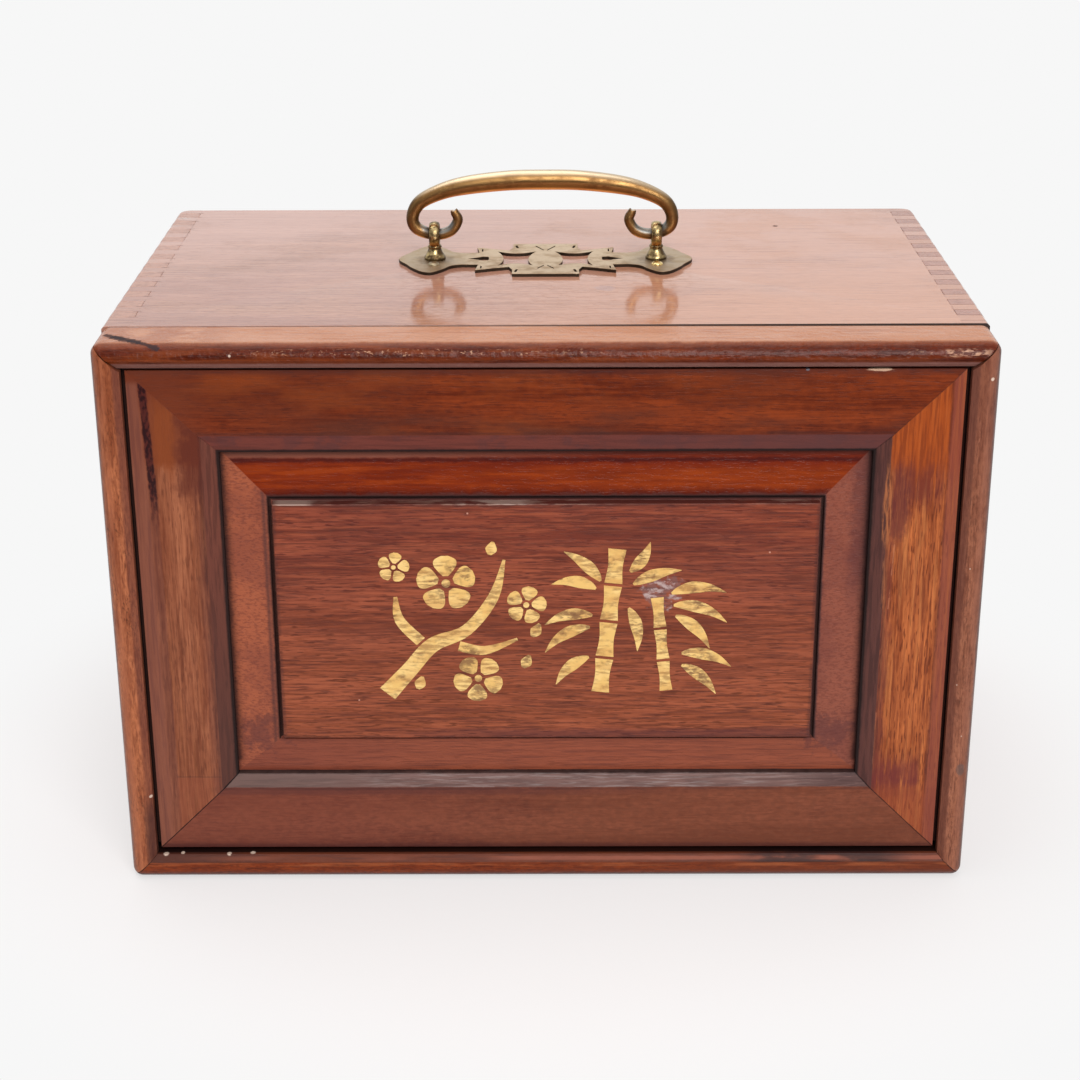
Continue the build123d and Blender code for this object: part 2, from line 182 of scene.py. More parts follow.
def piece(name, bm, body, material, replaced, bevel=0.0, sharp=35.0):
    """Finishes a mesh as an object that rides on a body and stands for CAD nodes."""
    bmesh.ops.recalc_face_normals(bm, faces=bm.faces)
    mesh = bpy.data.meshes.new(name)
    bm.to_mesh(mesh)
    bm.free()
    mesh.shade_smooth()
    mesh.set_sharp_from_angle(angle=math.radians(sharp))
    mesh.materials.append(material)
    thing = bpy.data.objects.new(name, mesh)
    bpy.context.scene.collection.objects.link(thing)
    if bevel:
        easing = thing.modifiers.new("eased arrises", "BEVEL")
        easing.width = bevel
        easing.segments = 2
        easing.limit_method = "ANGLE"
        easing.angle_limit = math.radians(sharp)
        easing.harden_normals = True
    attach(thing, body)
    if replaced:
        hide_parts(*replaced)
    return thing


# ---- front frame ----
def moulding(length, end_gap=0.0, undercut=False):
    """A grooved moulding along X: outer edge at Z = 0, face at Y = 0, mitred and rounded at both ends."""
    cuts = 24  # along its length, for the softened edges
    corner_steps = 5
    bm = block((0, 0, 0), (length, moulding_depth, moulding_width))
    outer = edges_along_x(bm, 0, 0)
    bmesh.ops.bevel(
        bm, geom=outer, offset=moulding_round, segments=8, profile=0.5, affect="EDGES", material=-1
    )
    inner = edges_along_x(bm, 0, moulding_width)
    if undercut:
        plane_cut(bm, (0, 0, undercut_edge), (0, 0, 1))
        for vert in bm.verts:
            if vert.co.y < NEAR and vert.co.z > moulding_round + NEAR:
                vert.co.y = undercut_drop if vert.co.z < moulding_width - NEAR else undercut_depth
    else:
        bmesh.ops.bevel(
            bm, geom=inner, offset=moulding_bevel, segments=1, profile=0.5, affect="EDGES", material=-1
        )
    for step in range(1, cuts):
        plane_cut(bm, (length * step / cuts, 0, 0), (1, 0, 0))
    plane_cut(bm, (end_gap, 0, 0), (-1, 0, 1), trim=True)
    plane_cut(bm, (length - end_gap, 0, 0), (1, 0, 1), trim=True)
    for turn in range(corner_steps):
        across = frame_corner * (1 - math.tan(math.radians(45 * turn / corner_steps)))
        plane_cut(bm, (across, 0, 0), (1, 0, 0))
        plane_cut(bm, (length - across, 0, 0), (1, 0, 0))
    for vert in bm.verts:
        out = frame_corner - min(vert.co.x, length - vert.co.x)
        up = frame_corner - vert.co.z
        if out > 0 and up > 0:
            share = min(1.0, up / math.hypot(out, up))
            end = 1 if vert.co.x < length / 2 else -1
            vert.co.x += end * out * (1 - share)
            vert.co.z += up * (1 - share)
    push_strip(bm, moulding_width, *frame_groove, -frame_groove_depth)
    return bm


def front_frame(materials):
    """The four mouldings; the top one lifts out with the front panel."""
    top_clearance = 0.5 * MM  # at each of its ends
    for side, length, gap, body, name, node in (
        ("top", 2 * half_width, top_clearance, "front_panel", "lifting_top_moulding", "top_lift_moulding"),
        ("bottom", 2 * half_width, 0, "case", "base_moulding", "bottom_front_moulding"),
        ("left", height, 0, "case", "left_upright_moulding", "left_front_moulding"),
        ("right", height, 0, "case", "right_upright_moulding", "right_front_moulding"),
    ):
        bm = moulding(length, gap, side == "top")
        place_on_side(bm, side)
        piece(name, bm, body, materials[side], [node], arris)


# ---- front panel ----
def panel_member(length, reach, flat):
    """A stile or rail along X: outer edge at Z = 0, face at Y = 0, with its tongue and its groove."""
    bm = block((0, 0, 0), (length, panel_thickness, member_width))
    plane_cut(bm, (0, 0, margin_width), (0, 0, 1))
    plane_cut(bm, (0, 0, flat), (0, 0, 1))
    for vert in bm.verts:
        if vert.co.y < NEAR and vert.co.z < NEAR:
            vert.co.y = margin_drop
        if vert.co.y < NEAR and vert.co.z > member_width - NEAR:
            vert.co.y = slope_drop
    plane_cut(bm, (0, 0, 0), (-1, 0, 1), trim=True)
    plane_cut(bm, (length, 0, 0), (1, 0, 1), trim=True)
    push_strip(bm, 0, *tongue, -reach)
    push_strip(bm, member_width, *field_groove, -field_groove_depth)
    return bm


def panel_frame(materials):
    """The panel's rails and stiles, mitred at the corners."""
    across = 2 * panel_half
    tall = panel_top - panel_bottom
    side_gap = half_width - moulding_width - panel_half
    for side, length, name in (
        ("top", across, "top_rail"),
        ("bottom", across, "bottom_rail"),
        ("left", tall, "left_stile"),
        ("right", tall, "right_stile"),
    ):
        bm = panel_member(length, tongue_reach[side], flat_width[side])
        inset = moulding_width + (0 if side == "top" else side_gap)
        if side == "bottom":
            inset = panel_bottom
        start = half_width - panel_half if side in ("top", "bottom") else panel_bottom
        bmesh.ops.translate(bm, vec=(start, panel_face - front, inset), verts=bm.verts)
        place_on_side(bm, side)
        piece(name, bm, "front_panel", materials[side], [f"panel_{name}"], arris)


def rectangle_step(bm, face, half, low, high, y):
    """Extrudes a face of the raising and moves it to a new rectangle; returns the new face."""
    grown = bmesh.ops.extrude_face_region(bm, geom=[face])["geom"]
    bmesh.ops.delete(bm, geom=[face], context="FACES_ONLY")
    new_face = [item for item in grown if isinstance(item, bmesh.types.BMFace)][0]
    for vert in new_face.verts:
        vert.co = (half if vert.co.x > 0 else -half, y, high if vert.co.z > (low + high) / 2 else low)
    return new_face


def raised_field(material):
    """The panel that the stiles and rails hold: edge, sloping raising, sunk quirk and flat field."""
    half = opening_half - side_margin
    low = opening_low + bottom_margin
    high = opening_high - top_margin
    foot = panel_face + raising_drop
    bm = block(
        (-opening_half - field_engaged, foot, opening_low - field_engaged),
        (opening_half + field_engaged, foot + field_edge, opening_high + field_engaged),
    )
    face = [item for item in bm.faces if item.normal.y < -0.9][0]
    shoulder = (half + quirk_width, low - quirk_width, high + quirk_width)
    for half_x, z_low, z_high, y in (
        (opening_half, opening_low, opening_high, foot),
        (*shoulder, panel_face + shoulder_drop),
        (*shoulder, panel_face + shoulder_drop + quirk_depth),
        (half, low, high, panel_face + shoulder_drop + quirk_depth),
        (half, low, high, panel_face - field_proud),
    ):
        face = rectangle_step(bm, face, half_x, z_low, z_high, y)
    piece("fielded_panel", bm, "front_panel", material, ["panel_raised_field"], arris)


# ---- carcass ----
def eased_board(node, name, material):
    """A board of the carcass with the shape of its CAD node and softened edges."""
    bm = bmesh.new()
    bm.from_mesh(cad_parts[node].data)
    bmesh.ops.remove_doubles(bm, verts=bm.verts, dist=NEAR)
    bmesh.ops.dissolve_limit(bm, angle_limit=math.radians(1), verts=bm.verts, edges=bm.edges)
    piece(name, bm, "case", material, [node], board_arris)


# ---- handle ----
def smooth_path(points, steps):
    """Points along a smooth line through the given ones."""
    line = []
    for index in range(len(points) - 1):
        before = points[max(index - 1, 0)]
        start, end = points[index], points[index + 1]
        after = points[min(index + 2, len(points) - 1)]
        for step in range(steps):
            t = step / steps
            line.append(
                0.5
                * (
                    2 * start
                    + (end - before) * t
                    + (2 * before - 5 * start + 4 * end - after) * t**2
                    + (3 * start - before - 3 * end + after) * t**3
                )
            )
    return line + [points[-1]]


def bail(material):
    """The bail: a round bar, thick at the grip, tapering through the eyes into upturned curls."""
    # all in millimetres about the axis through the eyes
    rise = 16.31  # of the grip
    droop = 4.15  # of the arch's ends below the grip
    arch_power = 2.7  # a higher one gives a flatter grip with rounder shoulders
    curl = 7.0  # reach of a curl from its eye
    lean = 1.5  # how far the right half is drawn towards the middle, at its eye
    # each point of a curl: out and up from the eye, times the reach, then the bar's radius
    loop = [
        (-0.835, 1.02, 0.75),
        (-0.84, 1.0, 1.1),
        (-0.88, 0.93, 1.28),
        (-1.0, 0.6, 1.5),
        (-0.67, 0.14, 1.62),
        (0, 0, 1.65),
        (0.73, 0.26, 1.85),
        (0.91, 0.77, 1.86),
        (0.57, 1.39, 2.1),
    ]
    # each point of the arch: share of the way from the middle to an eye, then the bar's radius
    arch = [(0.92, 2.42), (0.68, 2.76), (0.32, 2.92), (0, 2.96)]
    right = [Vector((eye_x / MM + out * curl, up * curl, radius)) for out, up, radius in loop]
    right += [
        Vector((eye_x / MM * share, rise - droop * share**arch_power, radius)) for share, radius in arch
    ]
    left = [Vector((-x, up, radius)) for x, up, radius in reversed(right[:-1])]
    for point in right:
        point.x -= lean * point.x / (eye_x / MM)
    line = smooth_path(right + left, 10)

    bm = bmesh.new()
    ring = bmesh.ops.create_circle(bm, segments=28, radius=1)["verts"]
    edges = bm.edges[:]
    around = [vert.co.copy() for vert in ring]
    for index, at in enumerate(line):
        ahead = line[min(index + 1, len(line) - 1)] - line[max(index - 1, 0)]
        along = Vector((ahead.x, 0, ahead.y)).normalized()
        out = along.cross(Vector((0, 1, 0)))
        centre = Vector((at.x, handle_y / MM, bail_axis_z / MM + at.y))
        if index:
            grown = bmesh.ops.extrude_edge_only(bm, edges=edges)["geom"]
            edges = [item for item in grown if isinstance(item, bmesh.types.BMEdge)]
            ring = [item for item in grown if isinstance(item, bmesh.types.BMVert)]
        for vert, place in zip(ring, around):
            vert.co = (centre + at.z * (place.x * out + place.y * Vector((0, 1, 0)))) * MM
    rims = [edge for edge in bm.edges if edge.is_boundary]
    bmesh.ops.holes_fill(bm, edges=rims)
    piece("bail_handle", bm, "handle", material, ["handle_bail"], sharp=70)


def spin(bm, geom, axis, centre, steps):
    """Turns a profile all the way round an axis."""
    angle = 2 * math.pi
    bmesh.ops.spin(bm, geom=geom, axis=axis, cent=centre, steps=steps, angle=angle, use_merge=True)
    bmesh.ops.remove_doubles(bm, verts=bm.verts, dist=MERGE)


def turned(profile, steps=40):
    """A shape turned about Z from (radius, height) pairs, closed at both ends."""
    bm = bmesh.new()
    verts = [bm.verts.new((radius, 0, up)) for radius, up in profile]
    edges = [bm.edges.new(pair) for pair in zip(verts, verts[1:])]
    spin(bm, verts + edges, (0, 0, 1), (0, 0, 0), steps)
    return bm


def profile_curve(points, steps=5):
    """A smooth turning profile through (radius, height) pairs in millimetres."""
    line = smooth_path([Vector(point) for point in points], steps)
    return [(max(0.0, point.x) * MM, point.y * MM) for point in line]


def handle_eye(side, material):
    """An eye: bell foot, neck and collar, a ring round the bail, and a shank through the board."""
    axis_up = (bail_axis_z - plate_top) / MM
    neck = 4.4  # millimetres, of the foot, neck and collar together
    shank = 1.5 * MM  # radius
    peened = (2.4 * MM, 0.9 * MM)  # radius and thickness of the shank's spread end
    ring, ring_wide, ring_thick = 3.05, 1.55, 0.8  # millimetres: mean radius, half width and half thickness
    foot = [(3.15, 0.0), (3.2, 0.5), (3.0, 1.0), (2.5, 1.8), (2.05, 2.7), (1.9, 3.3), (2.1, 3.8), (1.7, neck)]
    bm = turned([(0, 0)] + profile_curve(foot) + [(0, neck * MM)])
    shank_end = shank_low - plate_top
    for low, high, radius in ((shank_end, 0, shank), (shank_end, shank_end + peened[1], peened[0])):
        rod = bmesh.ops.create_cone(
            bm, cap_ends=True, segments=24, radius1=radius, radius2=radius, depth=high - low
        )
        bmesh.ops.translate(bm, vec=(0, 0, (low + high) / 2), verts=rod["verts"])
    ring_verts = bmesh.ops.create_circle(bm, segments=20, radius=1, cap_ends=False)["verts"]
    ring_edges = list({edge for vert in ring_verts for edge in vert.link_edges})
    for vert in ring_verts:
        vert.co = Vector((vert.co.x * ring_wide, 0, axis_up + ring + vert.co.y * ring_thick)) * MM
    spin(bm, ring_verts + ring_edges, (1, 0, 0), (0, 0, axis_up * MM), 40)
    bmesh.ops.translate(bm, vec=(side * eye_x, handle_y, plate_top), verts=bm.verts)
    name = "right" if side > 0 else "left"
    piece(f"{name}_eye_post", bm, "case", material, [f"{name}_handle_eye"], sharp=50)


def plate_outlines():
    """The closed outlines of the plate: its edge, then its piercings, in millimetres about its centre."""
    reach = (plate_high.x - plate_low.x) / 2 / MM
    depth = (plate_high.y - plate_low.y) / 2 / MM
    eye = eye_x / MM
    tabs = [(0, depth), (9.8, depth), (9.8, 13.0), (10.9, 9.6), (15.5, 11.2), (20.7, 13.4), (19.9, 6.9)]
    lobe = [
        (24.5, 6.6),
        (eye - 5.2, 8.0),
        (eye - 2.6, 12.2),
        (eye + 0.4, 15.6),
        (eye + 3.4, 14.6),
        (eye + 6.6, 9.8),
        (eye + 8.0, 6.6),
        (eye + 9.1, 4.6),
        (eye + 10.2, 2.4),
        (reach, 0),
    ]
    curve = smooth_path([Vector(point) for point in lobe], 4)
    quarter = [Vector(point) for point in tabs] + curve
    back_half = quarter + [Vector((at.x, -at.y)) for at in reversed(quarter[1:-1])]
    edge = back_half + [Vector((0, -depth))] + [Vector((-at.x, at.y)) for at in reversed(back_half[1:])]

    star = []
    corners = [(-6.2, 8.6), (5.6, 8.6), (5.2, -8.2), (-5.2, -8.2)]
    hollows = [(0, 3.6), (1.9, 0), (0, -3.6), (-1.9, 0)]
    for index in range(4):
        start, hollow, end = Vector(corners[index]), Vector(hollows[index]), Vector(corners[(index + 1) % 4])
        for step in range(8):
            t = step / 8
            star.append(start * (1 - t) ** 2 + hollow * 2 * t * (1 - t) + end * t**2)
    star = [at + Vector((8.9, 0)) for at in star]
    teardrop = [(16.9, 1.4), (17.3, 2.2), (18.6, 2.4), (20.6, 1.2), (23.4, 0)]
    teardrop += [(x, -y) for x, y in reversed(teardrop[:-1])]
    nick = [(8.0, 12.5), (8.7, 12.5), (9.3, 15.4), (8.6, 15.8)]
    prick = [(18.8, 8.4), (19.3, 8.4), (19.2, 11.6), (18.9, 11.6)]
    right = [star, teardrop, nick, prick, [(x, -y) for x, y in nick], [(x, -y) for x, y in prick]]
    right.append([(0.5, 9.4), (0.5, 10.4), (2.9, 15.4), (3.1, 14.6)])
    right.append([(0.5, -7.6), (0.5, -8.5), (2.3, -12.0), (2.5, -11.2)])
    holes = [[Vector(at) for at in outline] for outline in right]
    return [edge] + holes + [[Vector((-at.x, at.y)) for at in outline] for outline in holes]


def handle_plate(material):
    """The pierced plate that the eyes and tacks stand on."""
    bm = bmesh.new()
    for outline in plate_outlines():
        verts = [bm.verts.new((at.x * MM, handle_y + at.y * MM, plate_low.z)) for at in outline]
        for index, vert in enumerate(verts):
            bm.edges.new((vert, verts[(index + 1) % len(verts)]))
    bmesh.ops.triangle_fill(bm, use_beauty=True, use_dissolve=True, edges=bm.edges[:], normal=(0, 0, 1))
    grown = bmesh.ops.extrude_face_region(bm, geom=bm.faces[:])["geom"]
    raised = [item for item in grown if isinstance(item, bmesh.types.BMVert)]
    bmesh.ops.translate(bm, vec=(0, 0, plate_top - plate_low.z), verts=raised)
    piece("pierced_plate", bm, "case", material, ["handle_plate"], plate_arris)


def tacks(material):
    """Two domed tacks, in front of the eyes."""
    forward = 7.2 * MM  # of the eyes
    pin_length = 5.0 * MM
    pin = 0.5 * MM  # radius
    bm = bmesh.new()
    head = [(1.7, 0.0), (1.65, 0.3), (1.35, 0.62), (0.8, 0.84), (0.0, 0.9)]
    for side in (-1, 1):
        dome = turned([(0, -pin_length), (pin, -pin_length), (pin, 0)] + profile_curve(head, 3), 24)
        mesh = bpy.data.meshes.new("tack")
        bmesh.ops.translate(dome, vec=(side * eye_x, handle_y - forward, plate_top), verts=dome.verts)
        dome.to_mesh(mesh)
        bm.from_mesh(mesh)
        dome.free()
    piece("plate_tack_heads", bm, "case", material, ["plate_tacks"], sharp=50)


# ---- drawer knobs ----
def drawer_knob(number, material):
    """A turned knob on its peg through a drawer front."""
    low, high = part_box(f"drawer_{number}_knob")
    peg_end = knob_proud - (high.y - low.y)
    peg = 1.7 * MM  # radius
    head = [
        (1.7, 2.3), (1.9, 2.75), (3.1, 3.55), (4.05, 4.1), (4.2, 4.6), (3.85, 5.3), (2.9, 5.95), (1.4, 6.2)
    ]
    bm = turned([(0, peg_end), (peg, peg_end)] + profile_curve(head, 3) + [(0, knob_proud)])
    bmesh.ops.rotate(bm, cent=(0, 0, 0), matrix=Matrix.Rotation(math.pi / 2, 3, "X"), verts=bm.verts)
    centre = (low + high) / 2
    bmesh.ops.translate(bm, vec=(centre.x, low.y + knob_proud, centre.z), verts=bm.verts)
    name = f"drawer_{number}_turned_knob"
    piece(name, bm, f"drawer_{number}", material, [f"drawer_{number}_knob"], sharp=50)


# ---- gilded motifs on the field ----
def stroke(bm, points, steps=6):
    """A flat brush stroke through (x, z, half width) points in millimetres, made as a bent strip."""
    path = smooth_path([Vector(point) for point in points], steps)
    last = len(path) - 1
    strip = bmesh.ops.create_grid(bm, x_segments=last, y_segments=1, size=1)["verts"]
    for vert in strip:
        index = round((vert.co.x + 1) / 2 * last)
        ahead = path[min(index + 1, last)] - path[max(index - 1, 0)]
        out = Vector((-ahead.y, ahead.x)).normalized() * max(0.06, path[index].z) * vert.co.y
        vert.co = Vector((path[index].x + out.x, 0, path[index].y + out.y)) * MM


def blossom(bm, x, z, radius, turn):
    """A five-petalled blossom with a round eye."""
    petal = [(0.27, 0.09), (0.45, 0.25), (0.66, 0.38), (0.86, 0.36), (1.0, 0.12)]
    for step in range(5):
        angle = math.radians(turn + 72 * step)
        reach = [(out * radius, wide * radius) for out, wide in petal]
        stroke(bm, [(x + math.cos(angle) * out, z + math.sin(angle) * out, wide) for out, wide in reach], 4)
    eye = bmesh.ops.create_circle(bm, cap_ends=True, segments=14, radius=0.15 * radius * MM)["verts"]
    for vert in eye:
        vert.co = Vector((vert.co.x + x * MM, 0, vert.co.y + z * MM))


def plum_spray(bm):
    """A branch of plum blossom, in the left half of the field."""
    stroke(
        bm,
        [
            (-44.5, 58.5, 2.7),
            (-38, 66, 2.3),
            (-31.5, 73.5, 2.2),
            (-22, 78, 1.7),
            (-14.5, 88, 1.5),
            (-11.5, 99, 0.4),
        ],
    )
    stroke(bm, [(-34.8, 74.5, 1.6), (-40.5, 81, 1.4), (-41.5, 88, 0.5)])
    stroke(bm, [(-24.2, 73.1, 1.5), (-17, 71.8, 1.3), (-8, 75.2, 0.4)])
    for x, z, radius, turn in (
        (-27.5, 92, 8.2, 20),
        (-19, 63.2, 7.0, 50),
        (-5.5, 85.5, 5.6, 5),
        (-41.8, 96.8, 4.4, 80),
    ):
        blossom(bm, x, z, radius, turn)
    for x, z, lean in ((-15.5, 100.5, 1.0), (-4, 76, 2.2), (-6.5, 66.5, 1.8), (-36, 60, 1.4)):
        stroke(bm, [(x, z, 0.5), (x + lean / 2, z + 1.6, 1.6), (x + lean, z + 3.8, 0.4)], 4)


def bamboo_spray(bm):
    """Two canes of bamboo with their leaves, in the right half of the field."""
    for foot, top, joints, thick in (((15, 58.5), (19.5, 102.5), 4, 2.5), ((33.5, 59), (30.5, 88), 3, 1.8)):
        foot, top = Vector(foot), Vector(top)
        for joint in range(joints):
            low = foot.lerp(top, (joint + 0.04) / joints)
            high = foot.lerp(top, (joint + 0.96) / joints)
            waist = low.lerp(high, 0.5)
            stroke(bm, [(*low, thick), (*waist, thick * 0.8), (*high, thick)], 4)
    leaves = (
        ((12.2, 78.5), (-0.5, 71.5), 1.8),
        ((12.8, 82), (-0.5, 79.8), 1.6),
        ((13.6, 90), (1.5, 92), 1.6),
        ((14.8, 92.5), (5, 101.5), 1.0),
        ((12, 69.5), (2.5, 61.5), 1.4),
        ((22.8, 95.5), (28.6, 104.0), -0.9),
        ((24.0, 91.4), (37.0, 96.0), 1.0),
        ((22.5, 84.5), (25.5, 71.5), 1.2),
        ((34.5, 88.5), (49.5, 89.5), 1.8),
        ((35, 85), (50, 80.5), 1.8),
        ((35.5, 82), (45.5, 72.5), 1.4),
        ((37.5, 70.5), (51.5, 67), 1.6),
        ((37.5, 67), (47.5, 58.5), 1.2),
    )
    for start, tip, sag in leaves:
        start, tip = Vector(start), Vector(tip)
        side = Vector((start.y - tip.y, tip.x - start.x)).normalized() * (sag if tip.x > start.x else -sag)
        shape = []
        for along, wide in ((0, 0.35), (0.15, 1.2), (0.4, 1.75), (0.7, 1.15), (1, 0.08)):
            at = start.lerp(tip, along) + side * (1 - (2 * along - 0.9) ** 2)
            shape.append((*at, wide))
        stroke(bm, shape, 5)


def gilded_motif(name, draw, material):
    """A thin gilded figure that lies on the field."""
    sunk = 0.03 * MM
    thickness = 0.09 * MM
    bm = bmesh.new()
    draw(bm)
    bmesh.ops.translate(bm, vec=(0, panel_face - field_proud + sunk, 0), verts=bm.verts)
    grown = bmesh.ops.extrude_face_region(bm, geom=bm.faces[:])["geom"]
    raised = [item for item in grown if isinstance(item, bmesh.types.BMVert)]
    bmesh.ops.translate(bm, vec=(0, -thickness, 0), verts=raised)
    piece(name, bm, "front_panel", material, [], sharp=40)


# ---- shader tools ----
def shade(red, green, blue):
    """A colour given in sRGB bytes, as the shader takes it."""
    return tuple(
        part / 12.92 if part <= 0.04045 else ((part + 0.055) / 1.055) ** 2.4
        for part in (red / 255, green / 255, blue / 255)
    ) + (1.0,)


def feed(tree, socket, value):
    """Feeds an input with another node's output or with a constant."""
    if isinstance(value, bpy.types.NodeSocket):
        tree.links.new(value, socket)
    else:
        socket.default_value = value


def add(tree, kind, feeds=None, **settings):
    """Adds a shader node with its settings and what feeds it."""
    node = tree.nodes.new("ShaderNode" + kind)
    for name, value in settings.items():
        setattr(node, name, value)
    for socket, value in (feeds or {}).items():
        feed(tree, node.inputs[socket], value)
    return node


def maths(tree, operation, *values):
    """One step of arithmetic on sockets or numbers."""
    return add(tree, "Math", dict(enumerate(values)), operation=operation).outputs[0]


def opposite(tree, mask):
    """One minus a mask."""
    return maths(tree, "SUBTRACT", 1.0, mask)


def clamped(tree, value):
    """A value kept between 0 and 1."""
    return maths(tree, "MINIMUM", maths(tree, "MAXIMUM", value, 0.0), 1.0)


def vectors(tree, operation, first, second=None):
    """Vector maths, with a number as the result of a length or a dot product."""
    feeds = {0: first} if second is None else {0: first, 1: second}
    outputs = add(tree, "VectorMath", feeds, operation=operation).outputs
    return outputs["Value" if operation in ("LENGTH", "DOT_PRODUCT") else "Vector"]


def mixed(tree, share, under, over):
    """The colour over laid on the colour under by a share from 0 to 1."""
    return add(tree, "Mix", {0: share, 6: under, 7: over}, data_type="RGBA").outputs[2]


def smooth_step(tree, value, low, high):
    """Rises from 0 at low to 1 at high."""
    feeds = {"Value": value, "From Min": low, "From Max": high}
    return add(tree, "MapRange", feeds, interpolation_type="SMOOTHSTEP").outputs[0]


def step_about(tree, value, edge, softness):
    """Rises from 0 to 1 about an edge, over a softness to either side."""
    return smooth_step(
        tree, value, maths(tree, "SUBTRACT", edge, softness), maths(tree, "ADD", edge, softness)
    )


def speckle(tree, place, along, across, detail=2.0, rough=0.5):
    """Noise about 0.5, with so many swings in a metre along X and across it."""
    stretched = vectors(tree, "MULTIPLY", place, (along, across, across))
    feeds = {"Vector": stretched, "Scale": 1.0, "Detail": detail, "Roughness": rough}
    return add(tree, "TexNoise", feeds).outputs[0]


def clouds(tree, place, size, detail, rough):
    """Noise about 0.5 with clouds of a size in metres."""
    feeds = {"Vector": place, "Scale": maths(tree, "DIVIDE", 1.0, size), "Detail": detail, "Roughness": rough}
    return add(tree, "TexNoise", feeds).outputs[0]


def wavering(tree, given, value, swings, detail, rough):
    """A value that wavers by the input Ragged, for a ragged edge with so many swings in a metre."""
    swing = maths(tree, "SUBTRACT", speckle(tree, given["Place"], swings, swings, detail, rough), 0.5)
    return maths(tree, "MULTIPLY_ADD", swing, given["Ragged"], value)


def effect(name, takes, gives):
    """A new shader node group; takes and gives list its sockets as a kind with the names of that kind."""
    tree = bpy.data.node_groups.new(name, "ShaderNodeTree")
    for direction, sockets in (("INPUT", takes), ("OUTPUT", gives)):
        for kind, *labels in sockets:
            for label in labels:
                tree.interface.new_socket(label, in_out=direction, socket_type="NodeSocket" + kind)
    return tree, tree.nodes.new("NodeGroupInput").outputs, tree.nodes.new("NodeGroupOutput").inputs


# ---- effects shared by the materials ----
def grain_effect():
    """Straight grain along X: broad bands, fine streaks, cross mottle and open pores."""
    amounts = ("Float", "Bands", "Streaks", "Mottle", "Pores")
    takes = [("Vector", "Place"), ("Color", "Dark", "Light", "Pore"), amounts]
    tree, given, result = effect("Rosewood Grain", takes, [("Color", "Color"), ("Float", "Relief")])
    bend = maths(tree, "SUBTRACT", speckle(tree, given["Place"], 9, 26), 0.5)
    drift = add(tree, "CombineXYZ", {1: maths(tree, "MULTIPLY", bend, 0.006)}).outputs[0]
    place = vectors(tree, "ADD", given["Place"], drift)
    total = 0.5
    for label, noise_value, gain in (
        ("Bands", speckle(tree, place, 6, 105, 4, 0.55), 2.6),
        ("Streaks", speckle(tree, place, 60, 1250, 3, 0.65), 2.4),
        ("Mottle", speckle(tree, place, 420, 620, 2, 0.6), 2.0),
    ):
        swing = maths(tree, "MULTIPLY", maths(tree, "SUBTRACT", noise_value, 0.5), gain)
        total = maths(tree, "MULTIPLY_ADD", swing, given[label], total)
    share = clamped(tree, total)
    colour = mixed(tree, share, given["Dark"], given["Light"])
    pore = smooth_step(tree, speckle(tree, place, 240, 2300, 1, 0.5), 0.56, 0.66)
    pore = maths(tree, "MULTIPLY", pore, given["Pores"])
    tree.links.new(mixed(tree, pore, colour, given["Pore"]), result["Color"])
    relief = maths(tree, "SUBTRACT", maths(tree, "MULTIPLY", share, 0.35), pore)
    tree.links.new(relief, result["Relief"])
    return tree


def edge_effect():
    """0 below a place along one axis and 1 above it, with a ragged edge."""
    tree, given, result = effect(
        "Ragged Edge",
        [("Vector", "Place"), ("Float", "Along", "Edge", "Softness", "Ragged")],
        [("Float", "Mask")],
    )
    value = wavering(tree, given, given["Along"], 260, 4, 0.65)
    tree.links.new(step_about(tree, value, given["Edge"], given["Softness"]), result["Mask"])
    return tree


def spot_effect():
    """1 inside an oval spot and 0 outside, with a ragged rim."""
    tree, given, result = effect(
        "Ragged Spot",
        [("Vector", "Place", "Centre", "Reach"), ("Float", "Ragged")],
        [("Float", "Mask")],
    )
    offset = vectors(tree, "SUBTRACT", given["Place"], given["Centre"])
    distance = vectors(tree, "LENGTH", vectors(tree, "DIVIDE", offset, given["Reach"]))
    distance = wavering(tree, given, distance, 420, 3, 0.6)
    tree.links.new(opposite(tree, smooth_step(tree, distance, 0.7, 1.15)), result["Mask"])
    return tree


def line_effect():
    """1 along a straight line between two places and 0 away from it, with a ragged rim."""
    tree, given, result = effect(
        "Ragged Line",
        [("Vector", "Place", "Start", "Reach"), ("Float", "Width", "Ragged")],
        [("Float", "Mask")],
    )
    reach = given["Reach"]
    offset = vectors(tree, "SUBTRACT", given["Place"], given["Start"])
    ahead = vectors(tree, "DOT_PRODUCT", offset, reach)
    share = clamped(tree, maths(tree, "DIVIDE", ahead, vectors(tree, "DOT_PRODUCT", reach, reach)))
    gone = add(tree, "VectorMath", {0: reach, "Scale": share}, operation="SCALE").outputs[0]
    distance = vectors(tree, "LENGTH", vectors(tree, "SUBTRACT", offset, gone))
    distance = wavering(tree, given, maths(tree, "DIVIDE", distance, given["Width"]), 900, 3, 0.6)
    tree.links.new(opposite(tree, smooth_step(tree, distance, 0.6, 1.2)), result["Mask"])
    return tree


def patch_effect():
    """Cloudy patches of a size in metres over a share of the surface."""
    tree, given, result = effect(
        "Cloudy Patches",
        [("Vector", "Place"), ("Float", "Size", "Cover"), ("Vector", "Stretch")],
        [("Float", "Mask")],
    )
    cloud = clouds(tree, vectors(tree, "MULTIPLY", given["Place"], given["Stretch"]), given["Size"], 4.0, 0.6)
    edge = maths(tree, "SUBTRACT", 0.72, maths(tree, "MULTIPLY", given["Cover"], 0.44))
    tree.links.new(step_about(tree, cloud, edge, 0.08), result["Mask"])
    return tree


